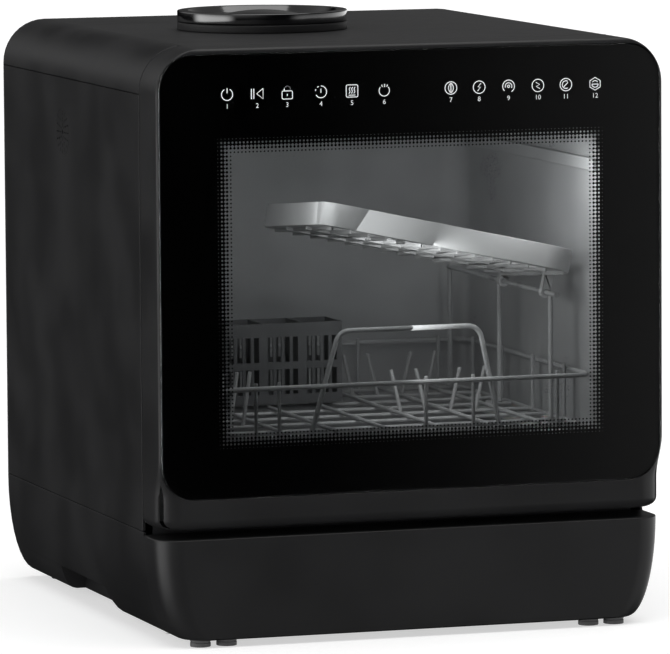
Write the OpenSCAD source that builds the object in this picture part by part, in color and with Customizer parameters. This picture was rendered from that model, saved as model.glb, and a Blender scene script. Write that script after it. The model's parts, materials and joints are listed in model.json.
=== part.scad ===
// Countertop dishwasher with a drop-front glass door, a lift-off filler cap and a
// rack that comes forward with the door. The origin is the middle of the footprint
// on the surface it stands on, +Z is up and the door faces -Y.

/* [Casing] */
// Width of the casing
body_w = 410; // [404:1:430]
// Depth from the door glass to the rear panel
body_d = 430; // [428:1:450]
// Height of the roof
body_h = 459; // [456:1:480]
// Radius of the two upper corners, seen from the front
corner_r = 35; // [20:1:40]
// Height at which the sides begin to curve in towards the feet
belly_z = 84; // [80:1:84]
// How far the sides curve in at the bottom
belly_in = 23; // [10:1:30]
// Thickness of the plastic shells
wall = 2.5; // [2:0.1:3]
// Height of the rubber feet
foot_h = 6; // [4:1:7]

/* [Door] */
// Thickness of the whole door
door_t = 44.5; // [42:0.5:45]
// Thickness of the front glass
glass_t = 3.5; // [3:0.5:4]
// Radius of the glass corners
glass_r = 27; // [15:1:32]
// Margin of the frame beside the glass
glass_margin = 2; // [1:0.5:6]
// Diameter of the hinge pins
pin_d = 6; // [4:0.5:6]

/* [Tub] */
// Inside width of the tub
tub_w = 344; // [336:1:346]
// Inside depth of the tub
tub_d = 325; // [315:1:326]
// Inside height of the tub
tub_h = 325; // [315:1:326]
// Thickness of the tub walls
tub_t = 2; // [1.5:0.5:2]

/* [Rack] */
// Diameter of the rack wire
wire_d = 3; // [2.5:0.5:3.5]
// Height of the upper rail of the rack
rail_z = 191; // [185:1:200]
// Slope of the cup shelf in degrees
shelf_tilt = 12.3; // [8:0.1:14]
// Height of the rim of the cup shelf
rim_h = 18; // [10:1:20]

/* [Filler] */
// Diameter of the filler collar and its cap
collar_d = 135; // [125:1:140]
// Distance of the filler to the left of the middle
collar_x = 49; // [40:1:60]

/* [Hidden] */
$fn = 64;

// Gap between wires that cross, and half the seam between two casing panels
skin = 0.05;
seam = 0.4;

half_w = body_w / 2;
front_y = -body_d / 2;
back_y = body_d / 2;
case_y = front_y + door_t + 2;
case_back = back_y - wall;
case_base_y = front_y + 45;
base_top = belly_z + 2.1;
side_top = body_h - corner_r - 1.4;
arc_steps = 10;

glass_x = half_w - glass_margin;
glass_z0 = 114.5;
glass_z1 = body_h - 4.6;
door_z0 = 91;
door_back = front_y + door_t;
hinge_y = front_y + 14;
hinge_z = 100;
hinge_x = 154;
bracket_w = 6;
slot_w = 10;

tub_x = tub_w / 2;
tub_y0 = front_y + 50;
tub_y1 = tub_y0 + tub_d;
tub_z0 = 105;
tub_z1 = tub_z0 + tub_h;
mouth_x = tub_x - 2;
mouth_z0 = 135;
mouth_z1 = tub_z1 - 3;
ledge_z = 136;

mid_y = tub_y0 + tub_d / 2;
sump_x = 70;
sump_r = 45;
sump_z0 = 48;
pump_z = 70;
drain_z = 60;
drain_x = 131;

collar_r = collar_d / 2;
collar_y = 8;
throat_r = 50;
collar_top = body_h + 6.4;

vent_y = 42;
vent_z = 379;
vent_r = 18.5;

wr = wire_d / 2;
rail_r = 2;
rack_x = 166;
rack_y0 = front_y + 60;
rack_y1 = 135;
floor_z = 152;
shelf_x = 148;
shelf_z = 252;
shelf_lean = 5.5;
post_y = [-115, 5, 125];

// ---- outlines ----

function arc(cx, cy, r, a0, a1) = r <= 0 ? [[cx, cy]] :
  [for (i = [0:arc_steps]) let (a = a0 + (a1 - a0) * i / arc_steps)
    [cx + r * cos(a), cy + r * sin(a)]];

// Rectangle with one radius on the lower corners and another on the upper ones
function round_box(x0, x1, y0, y1, low_r, up_r) = concat(
  arc(x1 - low_r, y0 + low_r, low_r, -90, 0),
  arc(x1 - up_r, y1 - up_r, up_r, 0, 90),
  arc(x0 + up_r, y1 - up_r, up_r, 90, 180),
  arc(x0 + low_r, y0 + low_r, low_r, 180, 270));

// Quarter ellipse of the side, from the bottom edge up to the straight part
function belly(half, low, side) = [for (i = [0:arc_steps]) let (t = -90 + 90 * i / arc_steps)
  [side * (half - belly_in + belly_in * cos(t)), belly_z + (belly_z - low) * sin(t)]];

function reversed(list) = [for (i = [len(list) - 1:-1:0]) list[i]];

// Cross-section of the casing from the bottom up to a given height
function hull_outline(half, low, top) = concat(
  belly(half, low, 1), [[half, top], [-half, top]], reversed(belly(half, low, -1)));

module along_y(y0, y1) {
  translate([0, y1, 0]) rotate([90, 0, 0]) linear_extrude(y1 - y0) children();
}

module along_x(x0, x1) {
  translate([x0, 0, 0]) rotate([90, 0, 90]) linear_extrude(x1 - x0) children();
}

module plate_y(y0, y1, x0, x1, z0, z1, low_r = 0, up_r = 0) {
  along_y(y0, y1) polygon(round_box(x0, x1, z0, z1, low_r, up_r));
}

module box(x0, x1, y0, y1, z0, z1) {
  translate([x0, y0, z0]) cube([x1 - x0, y1 - y0, z1 - z0]);
}

module drum_x(x0, x1, y, z, r) {
  translate([x0, y, z]) rotate([0, 90, 0]) cylinder(h = x1 - x0, r = r);
}

module drum_y(y0, y1, x, z, r) {
  translate([x, y1, z]) rotate([90, 0, 0]) cylinder(h = y1 - y0, r = r);
}

module drum_z(z0, z1, x, y, r) {
  translate([x, y, z0]) cylinder(h = z1 - z0, r = r);
}

// Straight wire between two points
module rod(a, b, r = wr) {
  d = b - a;
  l = norm(d);
  translate(a) rotate([0, acos(d[2] / l), atan2(d[1], d[0])]) cylinder(h = l, r = r);
}

module both_sides() {
  for (s = [0, 1]) mirror([s, 0, 0]) children();
}

// ---- casing ----

carry_y = [-50, 97];
carry_z = 26;
carry_depth = 30;

// Slanted mouth of the carrying recess, seen from the side
module carry_mouth(grow = 0) {
  slant = 12;
  polygon([[carry_y[0] - grow, -1], [carry_y[1] + grow, -1],
    [carry_y[1] - slant + grow, carry_z + grow], [carry_y[0] + slant - grow, carry_z + grow]]);
}

module base_shell() {
  floor_z0 = foot_h + wall;
  post_x = 150;
  stand_y = [-125, 150];
  color("#1b1b1c") {
    difference() {
      union() {
        difference() {
          along_y(case_base_y, case_back) polygon(hull_outline(half_w, foot_h, base_top));
          along_y(case_base_y - 1, case_back + 1)
            polygon(hull_outline(half_w - wall, floor_z0, base_top + 1));
        }
        both_sides() intersection() {
          along_x(half_w - carry_depth - wall, half_w) carry_mouth(wall);
          along_y(case_base_y, case_back) polygon(hull_outline(half_w, foot_h, base_top));
        }
      }
      both_sides() along_x(half_w - carry_depth, half_w + 1) carry_mouth();
    }
    for (x = [-post_x, post_x]) for (y = stand_y) difference() {
      drum_z(floor_z0, tub_z0 - tub_t, x, y, 7);
      drum_z(floor_z0 + 1, tub_z0, x, y, 2);
    }
  }
}

module side_panel() {
  box(half_w - wall, half_w, case_y, case_back - seam, base_top + seam, side_top - seam);
}

module left_side_panel() {
  color("#202021") difference() {
    mirror([1, 0, 0]) side_panel();
    drum_x(-half_w - 1, -half_w + wall + 1, vent_y, vent_z, vent_r);
  }
}

module right_side_panel() {
  color("#202021") side_panel();
}

module top_cover() {
  color("#242425") difference() {
    intersection() {
      plate_y(case_y, case_back - seam, -half_w, half_w, 0, body_h, 0, corner_r);
      box(-half_w, half_w, case_y, case_back, side_top, body_h);
    }
    plate_y(case_y - 1, case_back + 1, wall - half_w, half_w - wall, 0, body_h - wall,
      0, corner_r - wall);
    drum_z(body_h - wall - 1, body_h + 1, -collar_x, collar_y, throat_r + 2);
  }
}

bay_x = [40, 180];
bay_z = [28, 88];
bay_y = back_y - 26;
screw_at = [[-190, 110], [-190, 410], [190, 110], [190, 410], [60, 445], [-100, 20], [26, 20]];

module rear_panel() {
  grille_x = [-150, -60];
  color("#1c1c1d") difference() {
    union() {
      difference() {
        intersection() {
          along_y(case_back, back_y) polygon(hull_outline(half_w, foot_h, body_h));
          plate_y(case_back, back_y, -half_w, half_w, 0, body_h, 0, corner_r);
        }
        plate_y(case_back - 1, back_y + 1, bay_x[0], bay_x[1], bay_z[0], bay_z[1], 6, 6);
      }
      difference() {
        plate_y(bay_y, case_back, bay_x[0] - 2, bay_x[1] + 2, bay_z[0] - 2, bay_z[1] + 2, 8, 8);
        plate_y(bay_y + 2, back_y, bay_x[0], bay_x[1], bay_z[0], bay_z[1], 6, 6);
      }
    }
    for (s = screw_at) drum_y(case_back - 1, back_y + 1, s[0], s[1], 3.7);
    for (i = [0:9]) plate_y(case_back - 1, back_y + 1, grille_x[0] + 10 * i,
      grille_x[0] + 10 * i + 4, 40, 76, 1.9, 1.9);
    drum_y(bay_y - 1, bay_y + 3, drain_x + 4, drain_z, 13.5);
    drum_y(bay_y - 1, bay_y + 3, valve_x, drain_z, 15);
    drum_y(bay_y - 1, bay_y + 3, 58, drain_z, 7.5);
  }
}

module rear_screws() {
  color("#77787a") for (s = screw_at) difference() {
    union() {
      drum_y(back_y - 2, back_y, s[0], s[1], 3.5);
      drum_y(back_y - 9, back_y - 1.9, s[0], s[1], 1.5);
    }
    box(s[0] - 2.5, s[0] + 2.5, back_y - 0.8, back_y + 1, s[1] - 0.4, s[1] + 0.4);
    box(s[0] - 0.4, s[0] + 0.4, back_y - 0.8, back_y + 1, s[1] - 2.5, s[1] + 2.5);
  }
}

// Block with the sides of the casing and upright front corners that keep their
// radius all the way down the curve
module fascia_block(half, y0, y1, low, top, r) {
  levels = 8;
  thin = 0.01;
  hull() for (i = [0:levels]) let (t = -90 + 90 * i / levels, z = belly_z + (belly_z - low) * sin(t),
    x = half - belly_in + belly_in * cos(t))
    translate([0, 0, min(z, top - thin)]) linear_extrude(thin)
      polygon(round_box(-x, x, y0, y1, r, 0));
}

module front_fascia() {
  plan_r = 20;
  color("#1e1e1f") difference() {
    fascia_block(half_w, front_y, case_base_y, foot_h, belly_z, plan_r);
    fascia_block(half_w - wall, front_y + wall, case_base_y + 1, foot_h + wall,
      belly_z - wall, plan_r - wall);
  }
}

module foot(x, y, r) {
  translate([x, y, 0]) rotate_extrude()
    polygon([[0, 0], [r - 1, 0], [r, 1], [r, foot_h - 1], [r - 1, foot_h], [0, foot_h]]);
}

module front_feet() {
  color("#4a4a4a") for (x = [-169, -148, 148, 169]) foot(x, front_y + 15, 8);
}

module rear_feet() {
  color("#4a4a4a") for (x = [-165, 165]) foot(x, back_y - 20, 9);
}

module side_vent() {
  disc_t = 2;
  rings = [[4, 7, 8], [8.5, 12, 12], [13.5, 16.8, 16]];
  color("#1a1a1b") difference() {
    drum_x(-half_w, -half_w + disc_t, vent_y, vent_z, vent_r - 0.1);
    drum_x(-half_w - 1, -half_w + disc_t + 1, vent_y, vent_z, 1.8);
    translate([-half_w - 1, vent_y, vent_z]) for (ring = rings) for (k = [0:ring[2] - 1])
      rotate([360 * k / ring[2], 0, 0]) translate([0, -0.6, ring[0]])
        cube([disc_t + 2, 1.2, ring[1] - ring[0]]);
  }
}

// ---- filler and water tank ----

duct_z0 = tub_z1 + tub_t + 0.5;
neck_y = 187;
valve_y = 175;
valve_x = 95;

module filler_collar() {
  throat_z = duct_z0 + 3;
  color("#232324") translate([-collar_x, collar_y, 0]) rotate_extrude()
    polygon([[throat_r, throat_z], [throat_r + 1.5, throat_z], [throat_r + 1.5, body_h],
      [collar_r - 0.8, body_h], [collar_r, body_h + 0.8], [collar_r, collar_top - 0.8],
      [collar_r - 0.8, collar_top], [throat_r + 1, collar_top], [throat_r, collar_top - 1]]);
}

module filler_strainer() {
  mesh_z = duct_z0 + 5;
  seat_r = throat_r - 0.4;
  color("#8f9092") difference() {
    translate([-collar_x, collar_y, 0]) rotate_extrude()
      polygon([[0, mesh_z], [seat_r, mesh_z], [seat_r, mesh_z + 8], [seat_r - 1.5, mesh_z + 8],
        [seat_r - 1.5, mesh_z + 1.5], [0, mesh_z + 1.5]]);
    for (i = [-5:5]) box(-collar_x + 7 * i - 1.2, -collar_x + 7 * i + 1.2,
      collar_y - 22, collar_y + 22, mesh_z - 1, mesh_z + 2);
  }
}

module filler_duct() {
  duct_x = [-collar_x - 55, -collar_x + 55];
  duct_y = [collar_y - 55, case_back - 4];
  duct_z1 = body_h - wall - 0.5;
  color("#bfc1c3") difference() {
    box(duct_x[0], duct_x[1], duct_y[0], duct_y[1], duct_z0, duct_z1);
    box(duct_x[0] + 2, duct_x[1] - 2, duct_y[0] + 2, duct_y[1] - 2, duct_z0 + 1.5, duct_z1 - 1.5);
    drum_z(duct_z1 - 2, duct_z1 + 1, -collar_x, collar_y, throat_r + 1.6);
    drum_z(duct_z0 - 1, duct_z0 + 2, -collar_x, neck_y, 15);
  }
}

module water_tank() {
  tank_x = [-185, 185];
  tank_y = [tub_y1 + tub_t + 2, case_back - 1.5];
  tank_z = [102, tub_z1 - 2];
  color("#c9cbcd") difference() {
    union() {
      box(tank_x[0], tank_x[1], tank_y[0], tank_y[1], tank_z[0], tank_z[1]);
      drum_z(tank_z[1] - 1, duct_z0 + 3, -collar_x, neck_y, 14.5);
    }
    box(tank_x[0] + 2, tank_x[1] - 2, tank_y[0] + 2, tank_y[1] - 2, tank_z[0] + 2, tank_z[1] - 2);
    drum_z(tank_z[1] - 3, duct_z0 + 4, -collar_x, neck_y, 12.5);
    drum_z(tank_z[0] - 1, tank_z[0] + 3, sump_x, neck_y, 4);
    drum_z(tank_z[0] - 1, tank_z[0] + 3, valve_x, valve_y, 4);
  }
}

// ---- tub ----

float_at = [-135, -130];
seal_x = 188;
seal_z = [118, 438];

module tub_cavity(grow, z0, z1) {
  r = 22;
  translate([0, 0, z0]) linear_extrude(z1 - z0)
    polygon(round_box(-tub_x - grow, tub_x + grow, tub_y0 - grow, tub_y1 + grow, 6, r + grow));
}

module tub_shell() {
  flange_y = case_y + 2;
  color("#a9abad") {
    difference() {
      union() {
        tub_cavity(tub_t, tub_z0 - tub_t, tub_z1 + tub_t);
        plate_y(case_y, flange_y, wall - half_w + 0.5, half_w - wall - 0.5, 108.5,
          body_h - wall - 0.5, 4, corner_r - wall - 0.5);
      }
      tub_cavity(0, tub_z0, tub_z1);
      plate_y(case_y - 1, tub_y0 + 8, -mouth_x, mouth_x, mouth_z0, mouth_z1, 3, 14);
      plate_y(case_y - 1, flange_y + 0.4, -9, 9, seal_z[1] + 0.4, 451);
      drum_z(tub_z0 - tub_t - 1, tub_z0 + 1, sump_x, mid_y, sump_r - 2);
      drum_z(tub_z0 - tub_t - 1, tub_z0 + 1, 0, mid_y, 8.5);
      drum_x(-tub_x - tub_t - 1, -tub_x + 1, vent_y, vent_z, 11);
    }
    drum_z(tub_z0 - 0.5, tub_z0 + 32, float_at[0], float_at[1], 3);
  }
}

// Runner for the rack and narrow rail above it, on each side wall
module tub_guides() {
  rib_z = [351, 361];
  color("#a9abad") both_sides() {
    box(tub_x - 12, tub_x - skin, tub_y0 + 7, tub_y1 - 24, ledge_z - 4, ledge_z);
    box(tub_x - 4, tub_x - skin, tub_y0 + 7, tub_y1 - 24, rib_z[0], rib_z[1]);
  }
}

module tub_seal() {
  color("#3a3a3b") difference() {
    plate_y(case_y - 1.7, case_y, -seal_x, seal_x, seal_z[0], seal_z[1], 20, 20);
    plate_y(case_y - 3, case_y + 1, 6 - seal_x, seal_x - 6, seal_z[0] + 6, seal_z[1] - 6, 15, 15);
  }
}

module tub_lamp() {
  color("#f4f4f0") difference() {
    box(-60, 60, tub_y0 + 12, tub_y0 + 28, tub_z1 - 4, tub_z1);
    box(-58, 58, tub_y0 + 14, tub_y0 + 26, tub_z1 - 2, tub_z1 + 1);
  }
}

// ---- hinges ----

bar_y = [case_y + 1.5, case_y + 4.5];

module hinge_crossbar() {
  color("#2c2c2d") box(-half_w + 9, half_w - 9, bar_y[0], bar_y[1], 40, tub_z0 - tub_t - 0.5);
}

module hinge_brackets() {
  eye_r = 6.8;
  arm_h = 5.5;
  color("#8d8f92") both_sides() difference() {
    along_x(hinge_x - bracket_w / 2, hinge_x + bracket_w / 2) union() {
      translate([hinge_y, hinge_z]) circle(r = eye_r);
      translate([hinge_y, hinge_z - arm_h]) square([bar_y[0] - hinge_y, 2 * arm_h]);
    }
    drum_x(hinge_x - bracket_w, hinge_x + bracket_w, hinge_y, hinge_z, pin_d / 2 + 0.05);
  }
}

module hinge_slots(y0, z1) {
  both_sides() box(hinge_x - slot_w / 2, hinge_x + slot_w / 2, y0, door_back + 1, door_z0 - 1, z1);
}

module hinge_cheeks() {
  cheek = 3;
  color("#8d8f92") both_sides() for (x = [hinge_x - slot_w / 2 - cheek, hinge_x + slot_w / 2])
    difference() {
      box(x, x + cheek, front_y + glass_t + wall, hinge_y + 14, door_z0 + wall, hinge_z + 24);
      drum_x(x - 1, x + cheek + 1, hinge_y, hinge_z, pin_d / 2 + 0.02);
    }
}

module hinge_pins() {
  color("#c4c6c8") both_sides()
    drum_x(hinge_x - slot_w / 2 - 3, hinge_x + slot_w / 2 + 3, hinge_y, hinge_z, pin_d / 2);
}

// ---- door ----

window_x = 162;
window_z = [147, 396];
inner_x = 178;
inner_z = [128, 414];
key_x = [-148, -124, -100, -73, -48, -22, 32, 55, 79, 103, 126, 150];
key_z = 422;

// Plan radius of the door's upright edges: wide below the glass, narrow beside it
function edge_r(t) = 18 - 15 * t * t * (3 - 2 * t);

module door_frame() {
  low_r = 8;
  up_r = 3;
  steps = 8;
  blend_h = 34;
  flange_y = front_y + glass_t + wall;
  color("#1e1e1f") difference() {
    intersection() {
      plate_y(front_y, door_back, -half_w, half_w, door_z0, body_h, 8, corner_r);
      union() {
        for (i = [0:steps]) let (z0 = i == 0 ? door_z0 : glass_z0 + (i - 0.5) * blend_h / steps,
          z1 = i == steps ? body_h : glass_z0 + (i + 0.5) * blend_h / steps)
          translate([0, 0, z0]) linear_extrude(z1 - z0)
            polygon(round_box(-half_w, half_w, front_y, door_back, edge_r(i / steps), 1));
      }
      along_x(-half_w, half_w) polygon(concat(
        arc(front_y + low_r, door_z0 + low_r, low_r, 180, 270),
        arc(door_back - 3, door_z0 + 3, 3, -90, 0),
        [[door_back, body_h]],
        arc(front_y + up_r, body_h - up_r, up_r, 90, 180)));
    }
    plate_y(front_y - 1, front_y + glass_t, -glass_x, glass_x, glass_z0, glass_z1, glass_r, glass_r);
    plate_y(flange_y, door_back + 1, wall - half_w, half_w - wall, door_z0 + wall, body_h - wall,
      6, corner_r - wall);
    plate_y(front_y, flange_y + 1, -window_x, window_x, window_z[0], window_z[1], 12, 12);
    plate_y(front_y, flange_y + 1, -168, 168, key_z - 14, key_z + 14, 3, 3);
    hinge_slots(hinge_y - 8.5, door_z0 + wall + 1);
  }
}

module door_glass() {
  color("#0a0a0b", 0.85)
    plate_y(front_y, front_y + glass_t, -glass_x, glass_x, glass_z0, glass_z1, glass_r, glass_r);
}

liner_y = door_back - 3.5;

module inner_glass() {
  color("#b8c0c4", 0.35)
    plate_y(liner_y - 3, liner_y, -inner_x - 4, inner_x + 4, inner_z[0] - 4, inner_z[1] + 4, 20, 20);
}

module door_liner() {
  margin = 3;
  color("#8b8d90") difference() {
    plate_y(liner_y, door_back, margin - half_w, half_w - margin, door_z0 + margin,
      body_h - margin, 6, corner_r - margin);
    plate_y(liner_y - 1, door_back + 1, -inner_x, inner_x, inner_z[0], inner_z[1], 16, 16);
    hinge_slots(liner_y - 1, hinge_z + 7);
  }
}

module touch_board() {
  board_y = front_y + glass_t + wall;
  color("#2f6b43") {
    box(-170, 170, board_y, board_y + 1.6, key_z - 16, key_z + 16);
    for (x = key_x) drum_y(front_y + glass_t, board_y + 0.5, x, key_z, 5);
    box(-40, -10, board_y + 1.5, board_y + 4, key_z - 10, key_z + 10);
    box(90, 130, board_y + 1.5, board_y + 7, key_z - 12, key_z - 4);
  }
}

latch_z = 442;

module latch_striker() {
  color("#c4c6c8") {
    box(-6, 6, door_back, door_back + 15.5, latch_z - 2, latch_z + 2);
    box(-12, 12, liner_y - 2, liner_y, latch_z - 6, latch_z + 8);
  }
}

lever_y = case_y + 34.5;
lever_z = 450;

module latch_housing() {
  cheek_x = 10;
  color("#2c2c2d") difference() {
    union() {
      box(-cheek_x - 2, cheek_x + 2, case_y + 8, case_y + 42, duct_z0, duct_z0 + 2);
      for (x = [-cheek_x - 2, cheek_x])
        box(x, x + 2, case_y + 8, case_y + 42, duct_z0, lever_z + 4);
      box(-cheek_x - 2, cheek_x + 2, case_y + 40, case_y + 42, duct_z0, lever_z + 4);
    }
    drum_x(-cheek_x - 3, cheek_x + 3, lever_y, lever_z, 1.7);
  }
}

module latch_lever() {
  nose_y = case_y + 12;
  color("#d8d9da") {
    box(-3, 3, nose_y, lever_y, lever_z - 2, lever_z + 1);
    drum_x(-4, 4, nose_y, lever_z - 2.4, 2);
    drum_x(-11.8, 11.8, lever_y, lever_z, 1.5);
  }
}

module door_switch() {
  color("#3c3c3d") {
    box(18, 32, case_y + 4, case_y + 28, duct_z0, duct_z0 + 12);
    box(22, 28, case_y + 28, case_y + 33, duct_z0 + 3, duct_z0 + 9);
  }
}

// ---- washing system ----

module sump() {
  rim_r = sump_r + 7;
  color("#3d3f41") difference() {
    union() {
      drum_z(sump_z0, tub_z0 - tub_t, sump_x, mid_y, sump_r);
      drum_z(tub_z0 - tub_t - 2, tub_z0 - tub_t, sump_x, mid_y, rim_r);
    }
    drum_z(sump_z0 + 2, tub_z0, sump_x, mid_y, sump_r - 2);
    for (a = [60, 120]) drum_z(sump_z0 - 1, sump_z0 + 3, sump_x + 35 * cos(a), mid_y + 35 * sin(a), 3.5);
    drum_x(sump_x - sump_r - 1, sump_x - sump_r + 6, mid_y, pump_z, 9);
    drum_x(sump_x + sump_r - 6, sump_x + sump_r + 1, mid_y, drain_z, 6);
  }
}

module filter_plate() {
  color("#9a9c9f") difference() {
    drum_z(tub_z0, tub_z0 + 2, sump_x, mid_y, sump_r + 5);
    drum_z(tub_z0 - 1, tub_z0 + 3, sump_x, mid_y, 27);
    for (k = [0:23]) translate([sump_x, mid_y, tub_z0 - 1]) rotate(15 * k)
      translate([31, -1, 0]) cube([12, 2, 4]);
  }
}

module filter_cup() {
  cup_r = 26;
  color("#7c7e81") difference() {
    union() {
      drum_z(62, tub_z0 + 4, sump_x, mid_y, cup_r);
      drum_z(tub_z0 + 2.1, tub_z0 + 4, sump_x, mid_y, cup_r + 4);
    }
    drum_z(63.5, tub_z0 + 5, sump_x, mid_y, cup_r - 1.2);
    for (k = [0:11]) translate([sump_x, mid_y, 68]) rotate(30 * k + 15)
      translate([cup_r - 3, -3, 0]) cube([6, 6, 30]);
  }
}

module heating_element() {
  ring_r = 35;
  color("#b9bbbd") {
    translate([sump_x, mid_y, 78]) rotate_extrude() translate([ring_r, 0]) circle(r = 2.8);
    for (a = [60, 120])
      drum_z(sump_z0 - 8, 78, sump_x + ring_r * cos(a), mid_y + ring_r * sin(a), 2.4);
  }
}

module spray_hub() {
  color("#55575a") difference() {
    union() {
      drum_z(tub_z0, tub_z0 + 9, 0, mid_y, 14);
      drum_z(tub_z0 + 8, tub_z0 + 24, 0, mid_y, 9);
      drum_z(tub_z0 + 23, tub_z0 + 26, 0, mid_y, 13);
    }
    drum_z(tub_z0 - 1, tub_z0 + 20, 0, mid_y, 6);
    drum_x(-12, 12, mid_y, tub_z0 + 15, 3);
  }
}

module spray_arm() {
  tip = 130;
  z0 = tub_z0 + 9.5;
  z1 = tub_z0 + 22.5;
  jets = [40, 62, 84, 106, 122];
  color("#606265") difference() {
    union() {
      drum_z(z0, z1, 0, mid_y, 17);
      translate([0, mid_y, z0 + 1.5]) for (s = [0, 180]) rotate(s) linear_extrude(z1 - z0 - 3)
        polygon(concat([[0, -15]], arc(tip - 10, 0, 10, -80, 80), [[0, 15]]));
    }
    drum_z(z0 - 1, z1 + 1, 0, mid_y, 9.3);
    for (s = [0, 180]) for (x = jets) translate([0, mid_y, z1 - 4]) rotate(s)
      translate([x, x % 4 - 1, 0]) cylinder(h = 6, r = 1.6);
  }
}

module wash_pump_housing() {
  r = 28;
  color("#47494b") difference() {
    union() {
      drum_x(-12, 14, mid_y, pump_z, r);
      drum_x(13, sump_x - sump_r - 0.2, mid_y, pump_z, 11);
      drum_z(pump_z + r - 4, tub_z0 - tub_t, 0, mid_y, 8);
    }
    drum_x(-9.5, 11.5, mid_y, pump_z, r - 2.5);
    drum_x(11, sump_x, mid_y, pump_z, 9);
    drum_z(pump_z + r - 8, tub_z0, 0, mid_y, 6);
    drum_x(-13, -9, mid_y, pump_z, 3.4);
  }
}

module impeller(x, z, r, shaft_r, shaft_x, vanes) {
  drum_x(x, x + 2, mid_y, z, r);
  drum_x(x, x + 9, mid_y, z, 5);
  drum_x(shaft_x, x + 1, mid_y, z, shaft_r);
  for (k = [0:vanes - 1]) translate([x + 1, mid_y, z]) rotate([360 * k / vanes, 0, 0])
    translate([0, -0.8, 3]) cube([7, 1.6, r - 4]);
}

module wash_impeller() {
  color("#e0e1e2") impeller(-5, pump_z, 21, 3, -60, 6);
}

module wash_pump_motor() {
  color("#6d6f72") difference() {
    union() {
      drum_x(-74, -12.5, mid_y, pump_z, 26);
      box(-62, -28, mid_y - 10, mid_y + 10, foot_h + wall, pump_z - 20);
    }
    drum_x(-62, -12, mid_y, pump_z, 3.4);
  }
}

module drain_pump_housing() {
  x0 = sump_x + sump_r + 7;
  color("#47494b") difference() {
    union() {
      drum_x(x0, x0 + 18, mid_y, drain_z, 20);
      drum_x(sump_x + sump_r + 0.2, x0 + 1, mid_y, drain_z, 8);
      drum_x(x0 + 17, x0 + 50, mid_y, drain_z, 16);
    }
    drum_x(x0 + 2, x0 + 16, mid_y, drain_z, 17.5);
    drum_x(sump_x + sump_r - 1, x0 + 3, mid_y, drain_z, 6);
    drum_x(x0 + 15, x0 + 36, mid_y, drain_z, 2.9);
    drum_y(mid_y + 15, mid_y + 22, x0 + 9, drain_z, 4);
  }
}

module drain_impeller() {
  x0 = sump_x + sump_r + 7;
  color("#e0e1e2") translate([2 * (x0 + 7), 0, 0]) mirror([1, 0, 0])
    impeller(x0 + 2, drain_z, 13, 2.5, x0 - 18, 5);
}

module drain_hose() {
  color("#565656") difference() {
    drum_y(mid_y + 20.2, bay_y - 3 - skin, drain_x, drain_z, 7);
    drum_y(mid_y + 19, bay_y, drain_x, drain_z, 4.5);
  }
}

module drain_spigot() {
  x = drain_x + 4;
  color("#dcdddf") difference() {
    union() {
      drum_y(bay_y - 1, back_y - 3, x, drain_z, 9);
      drum_y(bay_y - 3, bay_y, x, drain_z, 16);
    }
    drum_y(bay_y - 4, back_y - 2, x, drain_z, 6.5);
  }
}

module inlet_valve() {
  x = valve_x;
  color("#e6e7e8") difference() {
    union() {
      drum_y(bay_y - 1, back_y - 10, x, drain_z, 13.2);
      drum_y(bay_y - 3, bay_y, x, drain_z, 17);
      box(x - 12, x + 12, bay_y - 34, bay_y - 2.5, drain_z - 12, drain_z + 12);
      drum_z(drain_z + 11, 101.8, x, valve_y, 5);
      drum_z(drain_z - 40, drain_z - 11, x, valve_y, 9.5);
    }
    drum_y(bay_y - 20, back_y, x, drain_z, 8);
    drum_z(drain_z, 103, x, valve_y, 3.5);
  }
}

module fill_hose() {
  z = 95;
  r = 4.2;
  color("#565656") {
    drum_y(mid_y + sump_r + 0.5, neck_y, sump_x, z, r);
    drum_z(z, 102, sump_x, neck_y, r - 0.3);
    box(sump_x - 6, sump_x + 6, neck_y - 6, neck_y + 6, z - r - 0.2, z + r + 0.2);
  }
}

module cord_gland() {
  color("#2a2a2b") difference() {
    union() {
      drum_y(bay_y - 4, bay_y + 14, 58, drain_z, 7);
      drum_y(bay_y + 2, bay_y + 5, 58, drain_z, 10);
    }
    drum_y(bay_y - 5, bay_y + 15, 58, drain_z, 3.75);
  }
}

module main_board() {
  z = 20;
  x0 = -140;
  y0 = 45;
  color("#2f6b43") box(x0, x0 + 95, y0, y0 + 110, z, z + 1.6);
  color("#222222") {
    for (i = [0:3]) box(x0 + 8 + 21 * i, x0 + 24 + 21 * i, y0 + 80, y0 + 100, z + 1.6, z + 17);
    box(x0 + 10, x0 + 35, y0 + 10, y0 + 35, z + 1.6, z + 24);
    drum_z(z + 1.6, z + 26, x0 + 55, y0 + 22, 8);
    for (x = [x0 + 5, x0 + 90]) for (y = [y0 + 5, y0 + 105]) drum_z(foot_h + wall, z, x, y, 3);
  }
}

module blower_housing() {
  r = 36;
  x0 = -half_w + wall + 2;
  color("#515356") difference() {
    drum_x(x0, -tub_x - tub_t - 0.5, vent_y, vent_z, r);
    drum_x(x0 + 1.5, -tub_x - tub_t - 2, vent_y, vent_z, r - 1.5);
    drum_x(x0 - 1, x0 + 2, vent_y, vent_z, 22);
    drum_x(-tub_x - tub_t - 3, -tub_x, vent_y, vent_z, 11);
  }
}

module blower_rotor() {
  x0 = -half_w + wall + 5;
  color("#d0d1d3") {
    drum_x(x0, x0 + 11, vent_y, vent_z, 8);
    drum_x(x0 + 9, x0 + 11, vent_y, vent_z, 29);
    for (k = [0:15]) translate([x0, vent_y, vent_z]) rotate([22.5 * k, 0, 0])
      translate([0, -0.6, 20]) cube([10, 1.2, 8]);
  }
}

module overflow_float() {
  color("#f0f0f0") difference() {
    drum_z(tub_z0 + 0.5, tub_z0 + 22, float_at[0], float_at[1], 10);
    drum_z(tub_z0, tub_z0 + 23, float_at[0], float_at[1], 3.4);
    drum_z(tub_z0, tub_z0 + 18, float_at[0], float_at[1], 8.5);
  }
}

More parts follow.
